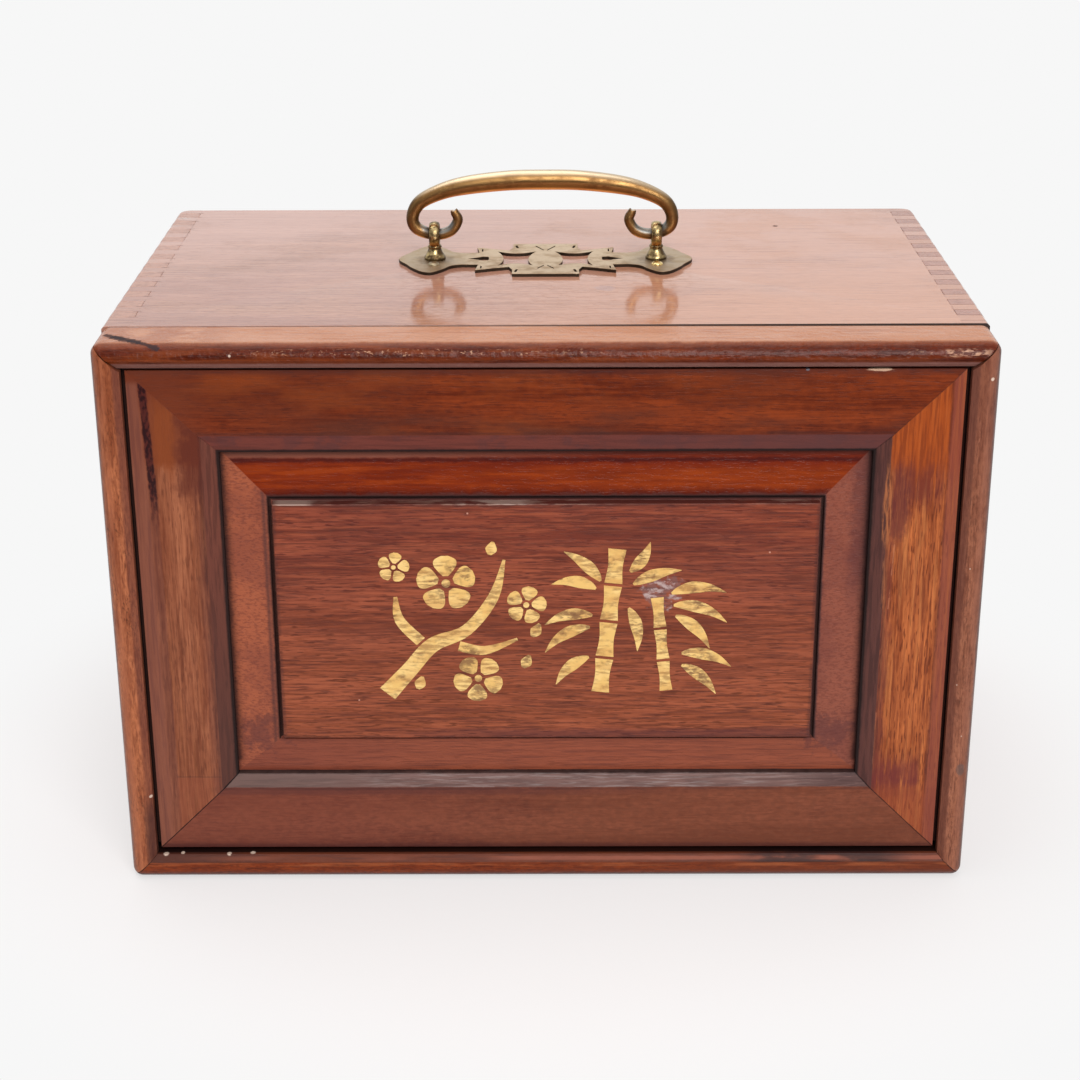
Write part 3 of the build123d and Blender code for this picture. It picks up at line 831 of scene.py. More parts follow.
def brass_effect():
    """Old brass: bright metal under a film that lies in clouds, with fine pits."""
    tree, given, result = effect(
        "Aged Brass",
        [("Vector", "Place"), ("Color", "Metal", "Film"), ("Float", "Cover", "Cloud Size", "Polish")],
        [("Color", "Color"), ("Float", "Roughness", "Relief")],
    )
    cloud = clouds(tree, given["Place"], given["Cloud Size"], 5.0, 0.65)
    edge = maths(tree, "SUBTRACT", 0.7, maths(tree, "MULTIPLY", given["Cover"], 0.4))
    film = step_about(tree, cloud, edge, 0.13)
    fine = speckle(tree, given["Place"], 1500, 1500, 3, 0.7)
    pits = smooth_step(tree, fine, 0.6, 0.72)
    share = maths(tree, "MAXIMUM", film, maths(tree, "MULTIPLY", pits, 0.5))
    tree.links.new(mixed(tree, share, given["Metal"], given["Film"]), result["Color"])
    rough = maths(tree, "MULTIPLY_ADD", film, 0.2, given["Polish"])
    rough = maths(tree, "MULTIPLY_ADD", maths(tree, "SUBTRACT", fine, 0.5), 0.15, rough)
    tree.links.new(rough, result["Roughness"])
    relief = maths(tree, "SUBTRACT", maths(tree, "MULTIPLY", fine, 0.4), pits)
    tree.links.new(relief, result["Relief"])
    return tree


grain = grain_effect()
aged_brass = brass_effect()
ragged_edge = edge_effect()
ragged_spot = spot_effect()
ragged_line = line_effect()
cloudy_patches = patch_effect()


# places in millimetres, for painting
TOP = height / MM
FRONT = front / MM
FRAME_BACK = frame_back / MM
FACE = panel_face / MM
LID_FRONT = lid_front / MM
BOARD = board / MM
PLATE = plate_top / MM


class Surface:
    """A material being painted in layers over object coordinates; its methods take millimetres."""

    def __init__(self, name, colour=None, rough=0.4):
        self.material = bpy.data.materials.new(name)
        self.material.use_nodes = True
        self.tree = self.material.node_tree
        self.shader = self.tree.nodes["Principled BSDF"]
        coordinates = add(self.tree, "TexCoord").outputs
        self.place = coordinates["Object"]
        self.x, self.y, self.z = add(self.tree, "SeparateXYZ", {0: self.place}).outputs
        self.facing = add(self.tree, "SeparateXYZ", {0: coordinates["Normal"]}).outputs
        self.colour = colour
        self.rough = rough

    def use(self, group, **feeds):
        """An effect group placed in this material."""
        return add(self.tree, "Group", feeds, node_tree=group).outputs

    def both(self, *masks):
        """Where all the masks overlap."""
        total = masks[0]
        for mask in masks[1:]:
            total = self.maths("MULTIPLY", total, mask)
        return total

    def away(self, mask):
        """Where a mask isn't."""
        return opposite(self.tree, mask)

    def maths(self, operation, *values):
        return maths(self.tree, operation, *values)

    def turned_to(self, axis, low, high):
        """How far the surface faces along an axis: 0 below the share low, 1 above high."""
        return smooth_step(self.tree, self.facing[axis], low, high)

    def above(self, along, edge, softness, ragged=0.0, unit=MM):
        """1 beyond an edge and 0 before it, in millimetres unless another unit is given."""
        feeds = {"Edge": edge * unit, "Softness": softness * unit, "Ragged": ragged * unit}
        return self.use(ragged_edge, Place=self.place, Along=along, **feeds)["Mask"]

    def below(self, along, *edge, unit=MM):
        """1 before an edge and 0 beyond it."""
        return self.away(self.above(along, *edge, unit=unit))

    def band(self, along, low, high, *softness, unit=MM):
        """1 in the stripe between two edges."""
        beyond = self.above(along, low, *softness, unit=unit)
        return self.both(beyond, self.below(along, high, *softness, unit=unit))

    def spot(self, centre, reach, ragged=0.6):
        """An oval spot, given by its centre and how far it reaches along each axis."""
        centre, reach = Vector(centre) * MM, Vector(reach) * MM
        return self.use(ragged_spot, Place=self.place, Centre=centre, Reach=reach, Ragged=ragged)["Mask"]

    def scratch(self, start, end, width, ragged=0.6):
        """A straight scratch between two places."""
        start, end = Vector(start) * MM, Vector(end) * MM
        feeds = {"Start": start, "Reach": end - start, "Width": width * MM, "Ragged": ragged}
        return self.use(ragged_line, Place=self.place, **feeds)["Mask"]

    def patches(self, size, cover, x=1.0, y=1.0, z=1.0):
        """Clouds of a size in millimetres, drawn out along an axis by a factor below 1."""
        feeds = {"Size": size * MM, "Cover": cover, "Stretch": (x, y, z)}
        return self.use(cloudy_patches, Place=self.place, **feeds)["Mask"]

    def lay(self, colour, mask, amount=1.0, rough=None):
        """Lays a colour, and a roughness if one is given, over what is there, through a mask."""
        share = self.maths("MULTIPLY", mask, amount)
        self.colour = mixed(self.tree, share, self.colour, colour)
        if rough is not None:
            change = self.maths("SUBTRACT", rough, self.rough)
            self.rough = self.maths("MULTIPLY_ADD", change, share, self.rough)

    def stain(self, tone, amount, *masks, rough=None):
        """Lays a tone, in sRGB bytes, where all the masks overlap."""
        self.lay(shade(*tone), self.both(*masks), amount, rough)

    def bumpy(self, height, distance):
        """Relief without a change of shape: a height from 0 to 1 that stands for a distance."""
        bump = add(self.tree, "Bump", {"Height": height, "Distance": distance * MM})
        self.tree.links.new(bump.outputs[0], self.shader.inputs["Normal"])

    def finish(self, **numbers):
        """Feeds the shader with what was painted, and sets its constant numbers."""
        for name, value in {"Base Color": self.colour, "Roughness": self.rough, **numbers}.items():
            feed(self.tree, self.shader.inputs[name.replace("_", " ")], value)
        return self.material


TURNS = {"X": (0, 0, 0), "Y": (0, 0, math.pi / 2), "Z": (0, math.pi / 2, 0)}
DARKER = (0.6, 0.5, 0.46)
LIGHTER = (1.34, 1.46, 1.5)
PORE = (0.3, 0.2, 0.2)


def toned(tone, factors):
    """A tone in sRGB bytes made darker or lighter by a factor for each part of the colour."""
    return tuple(part * factor for part, factor in zip(shade(*tone), factors)) + (1.0,)


class Timber(Surface):
    """Varnished wood of a mean tone, with its grain along one axis; start picks a part of the grain."""

    def __init__(self, name, along, start, tone, rough=0.34, bands=1.0, streaks=0.8, mottle=0.25, pores=0.5):
        super().__init__(name)
        self.along = along
        turned_place = add(
            self.tree, "Mapping", {"Vector": self.place, "Rotation": TURNS[along], "Location": start}
        )
        wood = self.use(
            grain,
            Place=turned_place.outputs[0],
            Dark=toned(tone, DARKER),
            Light=toned(tone, LIGHTER),
            Pore=toned(tone, PORE),
            Bands=bands,
            Streaks=streaks,
            Mottle=mottle,
            Pores=pores,
        )
        self.colour, self.relief = wood["Color"], wood["Relief"]
        self.rough = self.maths("MULTIPLY_ADD", self.relief, -0.1, rough)

    def not_behind(self):
        """All but the faces that look to the rear."""
        return self.away(self.turned_to("Y", 0.3, 0.8))

    def streaks(self, width, length, cover):
        """Streaks of a width and a length that follow the grain."""
        return self.patches(width, cover, **{self.along.lower(): width / length})

    def mitre(self, across, along, amount):
        """A dark line where this piece meets its neighbour at a mitre."""
        gap = self.maths("SUBTRACT", across, along)
        self.stain(BLACK, amount, self.band(gap, -mitre_gap / MM, mitre_gap / MM, 0.12, 0.2), rough=0.8)

    def varnish(self, ripple, ripple_size, **numbers):
        """Varnish with ripples of a size in millimetres over the relief of the grain."""
        swings = 1 / (ripple_size * MM)
        wave = speckle(self.tree, self.place, swings, swings, 2, 0.5)
        height = self.maths("MULTIPLY_ADD", self.relief, 0.08, self.maths("MULTIPLY", wave, ripple))
        self.bumpy(height, 0.4)
        return self.finish(**numbers)


# ---- woods ----
BLACK = (20, 9, 9)
# dirt; along the top rail's upper edge it is also painted shadow
GRIME_AND_SHADE = (58, 32, 32)
PLUM = (84, 44, 46)
MAROON = (56, 16, 20)
PALE = (222, 196, 178)


def lid_material():
    """The worn top board: faded, hazy varnish with painted sheen towards the back, the fingers of the side
    boards picked out by dirt, and painted shade on its front edge.
    """
    wood = Timber("lid rosewood", "X", (0.3, 0.1, 0), (184, 130, 107), 0.1, 0.5, 0.5, 0.12, 0.4)
    warm = wood.both(wood.above(wood.x, -10, 70), wood.patches(50, 0.6, 0.5))
    wood.stain((212, 146, 106), 0.5, warm)
    cool = wood.both(wood.below(wood.x, -30, 50), wood.patches(30, 0.5, 0.6))
    wood.stain((164, 114, 106), 0.4, cool, wood.below(wood.y, 20, 40))
    # lighter towards the back: painted sheen of the varnish at a glancing angle
    wood.stain((212, 166, 152), 0.5, wood.above(wood.y, 0, 60), wood.patches(40, 0.6))
    wood.stain((206, 150, 126), 0.3, wood.above(wood.x, 30, 60))
    # lighter still at the far left: painted sheen
    wood.stain((206, 160, 146), 0.35, wood.above(wood.y, 30, 30), wood.below(wood.x, -20, 50))
    wood.stain((124, 78, 66), 0.4, wood.streaks(0.9, 30, 0.24), wood.patches(30, 0.5))
    wood.stain((206, 156, 138), 0.35, wood.streaks(0.7, 22, 0.22), wood.patches(40, 0.5))
    finger_lines(wood)
    wood.stain(GRIME_AND_SHADE, 0.8, wood.spot((73.0, 53.2, TOP), (0.9, 1.1, 2)), rough=0.8)
    wood.stain((120, 116, 140), 0.22, wood.spot((17, -21, TOP), (3.0, 3.0, 2), 1.4))
    for x, y in ((-81, -50), (-64, 12), (88, 30), (-96, 30)):
        wood.stain(GRIME_AND_SHADE, 0.25, wood.spot((x, y, TOP), (1.2, 0.3, 1), 1.0), rough=0.6)
    # black on the front edge in the gap to the top moulding: painted shade
    lead = wood.maths("MULTIPLY_ADD", wood.x, -lid_skew, wood.y)
    brink = wood.both(wood.below(lead, LID_FRONT + 0.25, 0.12), wood.above(wood.x, -20, 60))
    wood.stain(BLACK, 0.95, brink, rough=0.9)
    return wood.varnish(0.1, 14, IOR=1.6)


def finger_lines(wood):
    """Dirt in the joints between the fingers: lines at the right, short dashes at the tips at the left."""
    start = frame_back + first_finger
    pitch = (rear - start) / finger_count
    nearest = wood.maths("PINGPONG", wood.maths("SUBTRACT", wood.y, start), pitch / 2)
    line = wood.below(nearest, 0.16, 0.12, 0.25)
    reach = wood.maths("SUBTRACT", half_width, wood.maths("ABSOLUTE", wood.x))
    high = wood.above(wood.z, TOP - BOARD, 0.1)
    line = wood.both(line, high)
    zone = wood.both(wood.below(reach, BOARD, 0.1), high)
    right = wood.both(zone, wood.above(wood.x, 0, 10))
    left = wood.both(wood.band(reach, BOARD - 1.5, BOARD + 1.1, 0.3, 1.5), wood.below(wood.x, 0, 10))
    wood.stain((150, 96, 86), 0.15, right)
    wood.stain((70, 32, 30), 0.7, line, right, wood.patches(20, 0.75), rough=0.8)
    wood.stain((84, 44, 40), 0.9, line, left, wood.patches(6, 0.66), rough=0.8)
    tips = wood.band(reach, BOARD - 0.2, BOARD + 0.2, 0.12, 0.4)
    wood.stain((110, 66, 56), 0.5, tips, wood.patches(8, 0.45), rough=0.6)


def moulding_wood(name, along, start, tone, specks=0.5):
    """A rounded moulding: mottled varnish with darker and lighter streaks and small dark specks."""
    wood = Timber(name, along, start, tone, 0.3, 0.8, 0.9, 0.6, 0.6)
    wood.lay(toned(tone, (0.6, 0.5, 0.48)), wood.streaks(1.8, 9, 0.4), 0.5)
    wood.lay(toned(tone, (1.3, 1.36, 1.3)), wood.streaks(2.5, 16, 0.38), 0.5)
    wood.lay(toned(tone, (0.5, 0.42, 0.42)), wood.streaks(0.5, 1.6, 0.36), 0.5)
    wood.stain(BLACK, specks, wood.streaks(0.45, 1.2, 0.3), wood.streaks(4, 16, 0.5))
    return wood


def shade_panel_gap(wood, across):
    """Painted shade: black in the gap beside the panel, behind its face, on the inner side of a moulding."""
    deep = wood.above(wood.y, FACE + 1.2, 0.7, 0.3)
    wood.stain(BLACK, 0.95, deep, wood.above(across, 6.2, 0.4), rough=0.8)


def top_moulding_material():
    """The lifting moulding: dark and speckled in front, with painted highlight flecks; faded and scuffed on
    top, with painted sheen; black paint for shade behind and in its recess.
    """
    wood = moulding_wood("lift moulding rosewood", "X", (0.1, 0, 0), (94, 33, 12), 0.3)
    wood.stain((134, 64, 30), 0.5, wood.streaks(1.8, 22, 0.42), wood.below(wood.x, 40, 50))
    wood.stain((62, 22, 14), 0.4, wood.streaks(1.6, 12, 0.4), wood.above(wood.x, -80, 60))
    amber = wood.both(wood.band(wood.z, TOP - 5.4, TOP - 3.4, 0.7, 1), wood.streaks(2.4, 30, 0.6))
    wood.stain((138, 64, 28), 0.45, amber)
    # lighter over the rounding and on top: faded varnish with painted sheen
    wood.stain((150, 78, 42), 0.5, wood.above(wood.y, FRONT + 2.1, 1, 1.2))
    faded_with_sheen = wood.above(wood.y, FRONT + 3.6, 1.1, 1.6)
    wood.stain((194, 128, 90), 0.94, faded_with_sheen, rough=0.2)
    wood.stain((206, 152, 124), 0.5, faded_with_sheen, wood.patches(20, 0.5, 0.3))
    wood.stain((156, 86, 54), 0.45, faded_with_sheen, wood.streaks(1.0, 14, 0.3))
    wood.stain((160, 92, 62), 0.6, faded_with_sheen, wood.below(wood.x, -88, 12), wood.patches(10, 0.6))
    # painted highlights: small pale flecks along the rounded front edge
    painted_glints = wood.both(
        wood.band(wood.z, TOP - 2.8, TOP - 1.2, 0.3, 0.8),
        wood.streaks(0.6, 1.1, 0.2),
        wood.patches(18, 0.6, 0.5),
        wood.maths(
            "MAXIMUM",
            wood.band(wood.x, -78, 32, 12),
            wood.band(wood.x, 86, 103, 3),
        ),
    )
    wood.stain((220, 168, 134), 0.7, painted_glints)
    # denser pale streaks near the right end: painted highlights like the flecks
    end_glints = wood.both(
        wood.band(wood.z, TOP - 3.4, TOP - 1.5, 0.3, 0.8),
        wood.streaks(0.8, 2.0, 0.42),
        wood.band(wood.x, 105, 116.5, 2, 4),
    )
    wood.stain((206, 156, 126), 0.75, end_glints)
    wood.stain(PALE, 0.8, wood.spot((-82.9, -77, 157.8), (0.4, 1, 0.4), 0.5))
    wood.stain((142, 98, 90), 0.9, wood.below(wood.z, TOP - 5, 0.35, 0.5), rough=0.45)
    wood.stain((154, 112, 104), 0.5, wood.below(wood.z, TOP - 5.4, 0.3, 0.3), wood.streaks(0.9, 18, 0.5))
    for start, end, width in (
        ((-117.0, -67.2, 160.4), (-112, -70.6, 160.5), 1.1),
        ((-114.4, -69.2, 160.5), (-108.0, -73.4, 160.5), 1.7),
        ((-110.2, -72.4, 160.4), (-102.2, -76.2, 159.7), 0.9),
    ):
        wood.stain((52, 44, 48), 0.85, wood.scratch(start, end, width, 1.7), rough=0.85)
    # painted shade: black on the back in the gap to the lid, and in the undercut recess
    wood.stain(BLACK, 0.7, wood.above(wood.y, FRAME_BACK - 0.5, 0.2))
    behind = wood.both(wood.above(wood.y, FRAME_BACK - 0.9, 0.2), wood.above(wood.x, 20, 50))
    wood.stain(BLACK, 0.8, behind, rough=0.9)
    inside = wood.both(wood.above(wood.y, FRONT + 1.9, 0.3), wood.below(wood.z, TOP - 6.4, 0.15))
    wood.stain(BLACK, 0.97, inside, rough=0.9)
    return wood.varnish(0.7, 2, Specular_IOR_Level=0.16)


def base_moulding_material():
    """The moulding at the base, with a soiled ledge below the panel."""
    wood = moulding_wood("base moulding rosewood", "X", (0.5, 0, 0), (128, 52, 19), 0.3)
    wood.stain((112, 56, 34), 0.45, wood.above(wood.x, 30, 50))
    wood.mitre(wood.z, wood.maths("ADD", wood.x, half_width), 0.9)
    wood.mitre(wood.z, wood.maths("SUBTRACT", half_width, wood.x), 0.9)
    ledge = wood.above(wood.z, 5.6, 0.3, 0.4)
    wood.stain((106, 54, 36), 0.85, ledge, rough=0.5)
    wood.stain((58, 34, 30), 0.6, ledge, wood.below(wood.x, -88, 14, 6))
    wood.stain((78, 42, 36), 0.5, ledge, wood.streaks(0.8, 14, 0.42))
    # a reddish line along the ledge: painted highlight
    line = wood.both(wood.band(wood.z, 6.2, 7, 0.2, 0.3), wood.above(wood.x, -85, 30))
    wood.stain((158, 90, 70), 0.7, line, wood.patches(30, 0.6, 0.4))
    stain = wood.both(ledge, wood.band(wood.x, 58, 102, 8))
    wood.stain((40, 26, 28), 0.8, stain, wood.patches(6, 0.6, 0.3))
    light = wood.both(wood.band(wood.z, 4.4, 5.5, 0.3, 0.4), wood.streaks(1.2, 20, 0.5))
    wood.stain((176, 98, 58), 0.5, light)
    wood.stain(GRIME_AND_SHADE, 0.5, wood.below(wood.z, 1.9, 0.7, 0.5))
    # black where the panel stands behind the ledge: painted shade
    shut = wood.both(wood.above(wood.y, FRONT + 2.7, 0.3), wood.above(wood.z, 7.1, 0.2))
    wood.stain(BLACK, 0.9, shut)
    for x, y, size in (
        (-110.0, -75.6, 0.85),
        (-105.2, -75.1, 0.6),
        (-91.7, -75.6, 0.75),
        (-84.9, -75.1, 0.9),
    ):
        wood.stain(PALE, 0.95, wood.spot((x, y, 7.3), (size, 0.9, 0.8), 0.7))
    for x, z in ((12, 5.6), (78, 5.4), (92, 5.8)):
        wood.stain(PALE, 0.6, wood.spot((x, -76.6, z), (0.45, 1, 0.4), 0.7))
    return wood.varnish(0.4, 3, Specular_IOR_Level=0.2)


def soil_rim(wood, across, edge, softness):
    """Dirt along the outer edge of a side moulding's face."""
    near_face = wood.below(wood.y, FRONT + 4.2, 0.6, 0.8)
    wood.stain(GRIME_AND_SHADE, 0.6, wood.below(across, edge, softness), near_face)


def left_moulding_material():
    """The left moulding: paler and more speckled than the right one."""
    wood = moulding_wood("left moulding rosewood", "Z", (0.2, 0, 0), (175, 101, 66), 0.65)
    across = wood.maths("ADD", wood.x, half_width)
    wood.stain((126, 62, 36), 0.5, wood.above(wood.z, 132, 14, 10))
    # a lighter band near the outer edge of the rounded face: painted highlight
    wood.stain((190, 114, 80), 0.5, wood.band(across, 1.2, 3.4, 0.9, 0.8), wood.streaks(2, 20, 0.6))
    wood.stain((98, 52, 46), 0.6, wood.above(across, 5.8, 0.5, 0.4), rough=0.45)
    wood.stain((62, 36, 34), 0.6, wood.above(across, 4.9, 0.6, 0.8), wood.below(wood.z, 24, 5))
    soil_rim(wood, across, 0.6, 0.4)
    wood.mitre(across, wood.z, 0.9)
    wood.stain(PALE, 0.9, wood.spot((-112.9, -76.5, 26.7), (0.5, 1.2, 0.5), 0.5))
    shade_panel_gap(wood, across)
    return wood.varnish(0.4, 3, Specular_IOR_Level=0.2)


def right_moulding_material():
    """The right moulding: greyer, with a dull scuff low down."""
    wood = moulding_wood("right moulding rosewood", "Z", (0.9, 0, 0), (147, 89, 66), 0.35)
    across = wood.maths("SUBTRACT", half_width, wood.x)
    wood.stain((96, 52, 44), 0.35, wood.above(wood.z, 128, 16, 10))
    # a lighter band near the outer edge of the rounded face: painted highlight
    wood.stain((158, 100, 78), 0.5, wood.band(across, 1.6, 3.4, 0.9, 0.8), wood.streaks(2, 20, 0.6))
    wood.stain((110, 62, 50), 0.6, wood.above(across, 5.8, 0.5, 0.4), rough=0.45)
    soil_rim(wood, across, 0.8, 0.5)
    wood.mitre(across, wood.z, 0.9)
    wood.stain((84, 78, 78), 0.55, wood.spot((117.0, -77, 35.2), (1.2, 2.5, 2.2), 1.4))
    wood.stain(PALE, 0.95, wood.spot((117.6, -77.5, 150.9), (0.5, 1.2, 0.5), 0.4))
    for x, z in ((114.2, 62), (115.4, 97), (116.6, 46)):
        wood.stain(PALE, 0.6, wood.spot((x, -77.7, z), (0.2, 1, 0.25), 0.5))
    shade_panel_gap(wood, across)
    return wood.varnish(0.35, 3, Specular_IOR_Level=0.2)


def member(side, start, tone, **grain_numbers):
    """A stile or rail whose face is to be painted: across runs from its outer edge to its inner one."""
    along = "X" if side in ("top", "bottom") else "Z"
    wood = Timber(f"{side} member rosewood", along, start, tone, **grain_numbers)
    edge, sign, axis = {
        "top": (panel_top, -1, wood.z),
        "bottom": (panel_bottom, 1, wood.z),
        "left": (-panel_half, 1, wood.x),
        "right": (panel_half, -1, wood.x),
    }[side]
    wood.across = wood.maths("MULTIPLY", wood.maths("SUBTRACT", axis, edge), sign)
    wood.slope_start = flat_width[side] / MM
    wood.slope = wood.above(wood.across, wood.slope_start, 0.2, 0.5)
    return wood


def paint_slope(wood, tone, dark=0.55, pale=0.3):
    """The soiled, streaked slope, over whatever runs across the face, with a line of dirt along its top."""
    brow = wood.band(wood.across, wood.slope_start - 0.9, wood.slope_start, 0.45, 0.9)
    wood.stain(GRIME_AND_SHADE, 0.45, brow, wood.streaks(3, 20, 0.6))
    wood.stain(tone, 0.93, wood.slope, rough=0.45)
    wood.lay(toned(tone, (0.52, 0.52, 0.54)), wood.both(wood.slope, wood.streaks(1.0, 13, 0.45)), dark)
    wood.lay(toned(tone, (1.5, 1.6, 1.6)), wood.both(wood.slope, wood.streaks(0.7, 12, 0.25)), pale)


def finish_member(wood, joint=0.7, deep=0.9):
    """A painted shadow line where the field enters the member, and dirt with painted shade on the edges that
    the front frame hides.
    """
    wood.stain(BLACK, 0.92, wood.above(wood.across, member_width / MM - joint, 0.35, 0.5), rough=0.7)
    sunk = wood.above(wood.y, FACE + 2.2, 0.5)
    wood.stain((34, 16, 14), deep, sunk, wood.not_behind(), rough=0.8)
    return wood.varnish(0.12, 6, Specular_IOR_Level=0.22)


def top_rail_material():
    """The top rail: mottled red brown, darkened along the top by dirt and painted shadow from the moulding,
    and chipped along the top.
    """
    wood = member("top", (0.1, 0, 0.2), (120, 46, 15), mottle=0.45, streaks=0.85, pores=0.45)
    wood.stain((92, 40, 24), 0.45, wood.patches(16, 0.42, 0.25))
    wood.stain((146, 68, 26), 0.4, wood.patches(12, 0.36, 0.3), wood.below(wood.x, 30, 60))
    wood.stain((84, 44, 34), 0.4, wood.patches(8, 0.4, 0.3), wood.above(wood.across, 12, 4))
    # darker along the upper edge, under the top moulding: dirt and painted shadow
    wood.stain(GRIME_AND_SHADE, 0.5, wood.below(wood.across, 1.4, 0.9, 0.6))
    wood.stain((112, 52, 32), 0.6, wood.below(wood.x, -94, 8, 6), wood.patches(20, 0.9))
    paint_slope(wood, (112, 53, 44), 0.45, 0.0)
    wood.stain((70, 44, 48), 0.35, wood.slope, wood.patches(6, 0.4))
    wood.stain((88, 50, 50), 0.6, wood.slope, wood.above(wood.x, 30, 50))
    wood.mitre(wood.across, wood.maths("SUBTRACT", panel_half, wood.x), 0.3)
    wood.stain((206, 168, 140), 0.9, wood.spot((88.2, -75, 152.8), (3.6, 3, 0.45), 0.9))
    wood.stain((110, 112, 122), 0.8, wood.spot((69.2, -75, 152.8), (0.6, 3, 0.35), 0.7))
    return finish_member(wood)


def bottom_rail_material():
    """The bottom rail: fine dark mottle, a dark red lower edge of painted shade, and a dusty, greyed slope
    whose grey is partly painted sheen.
    """
    wood = member("bottom", (0.5, 0, 0.9), (120, 62, 43), mottle=0.6, streaks=0.5, pores=0.4)
    wood.stain((88, 46, 34), 0.45, wood.patches(1.1, 0.42, 0.5))
    wood.stain((138, 76, 50), 0.35, wood.patches(30, 0.5, 0.4))
    wood.stain((122, 58, 44), 0.5, wood.below(wood.x, -30, 50))
    edge = wood.band(wood.across, wood.slope_start - 2.4, wood.slope_start, 0.6, 1)
    wood.stain((88, 44, 40), 0.55, edge, wood.below(wood.x, 20, 50))
    # dark red along the lower edge, above the base moulding: painted shade
    wood.stain(MAROON, 0.6, wood.below(wood.across, 1.2, 0.9, 0.6))
    # the greyed slope: dust, with painted sheen where it faces up
    paint_slope(wood, (121, 92, 87), 0.55, 0.5)
    wood.stain((160, 144, 140), 0.5, wood.slope, wood.band(wood.x, -50, 70, 20), wood.streaks(0.5, 9, 0.36))
    wood.stain((104, 84, 78), 0.5, wood.slope, wood.below(wood.x, -55, 20))
    wood.stain((64, 40, 40), 0.6, wood.slope, wood.above(wood.x, 74, 12), wood.streaks(1.2, 9, 0.7))
    wood.mitre(wood.across, wood.maths("ADD", wood.x, panel_half), 0.95)
    wood.mitre(wood.across, wood.maths("SUBTRACT", panel_half, wood.x), 0.8)
    return finish_member(wood, 0.1, 0.4)


def left_stile_material():
    """The left stile: orange brown, darker and redder towards its upper corner."""
    wood = member("left", (0.2, 0.2, 0), (150, 86, 58), bands=1.0, streaks=1.0, pores=0.45)
    wood.stain((124, 60, 36), 0.4, wood.streaks(2.5, 40, 0.4), wood.below(wood.z, 130, 10))
    wood.stain((172, 102, 64), 0.25, wood.streaks(1.4, 30, 0.3), wood.below(wood.z, 118, 6))
    rise = wood.maths("MAXIMUM", wood.maths("SUBTRACT", wood.z, 117 * MM), 0.0)
    shifted = wood.maths("MULTIPLY_ADD", rise, 0.035, wood.across)
    corner = wood.above(wood.z, 126.2, 1.6, 3)
    wood.stain((118, 54, 30), 0.85, corner)
    patch = wood.both(wood.band(wood.across, 6.4, 11.6, 1, 2.5), wood.band(wood.z, 124, 146, 4, 8))
    wood.stain((140, 68, 30), 0.6, patch, wood.streaks(1.2, 12, 0.7))
    inner = wood.both(wood.band(wood.z, 117, 141, 4, 8), wood.above(wood.across, 12, 1.8, 6))
    wood.stain((92, 38, 28), 0.75, inner, wood.patches(12, 0.85))
    wood.stain((108, 46, 28), 0.65, wood.above(wood.z, 144.5, 5, 5))
    margin = wood.both(wood.below(shifted, 4.2, 0.9, 0.8), wood.below(wood.z, 149.5, 1))
    wood.stain((134, 78, 61), 0.8, margin)
    wood.stain((98, 52, 48), 0.45, margin, wood.streaks(1.1, 24, 0.4))
    strip = wood.band(shifted, 4.3, 6.3, 0.3, 1)
    high = wood.both(wood.above(wood.z, 113, 7, 8), wood.below(wood.z, 149.5, 0.6, 1))
    wood.stain((74, 28, 28), 0.85, strip, high)
    wood.stain((34, 10, 16), 0.85, strip, high, wood.streaks(0.8, 1.8, 0.55))
    wood.stain((96, 52, 48), 0.4, strip, wood.below(wood.z, 113, 7, 8))
    seam = wood.both(wood.band(wood.z, 31.9, 32.2, 0.15, 0.4), wood.above(wood.across, 6, 0.5))
    wood.stain(GRIME_AND_SHADE, 0.45, seam)
    below = wood.both(wood.below(wood.z, 31.9, 0.3, 0.5), wood.above(wood.across, 6, 0.8))
    wood.stain((144, 76, 52), 0.5, below, wood.streaks(2.2, 12, 0.7))
    shadow = wood.both(wood.above(wood.across, 16.2, 1.2, 3), wood.below(wood.z, 118, 10))
    wood.stain((96, 52, 46), 0.42, shadow, wood.streaks(1.5, 30, 0.7))
    paint_slope(wood, (110, 59, 47), 0.6, 0.4)
    wood.stain((66, 42, 38), 0.6, wood.slope, wood.below(wood.z, 75, 40))
    wood.mitre(wood.across, wood.maths("SUBTRACT", wood.z, panel_bottom), 0.95)
    return finish_member(wood)


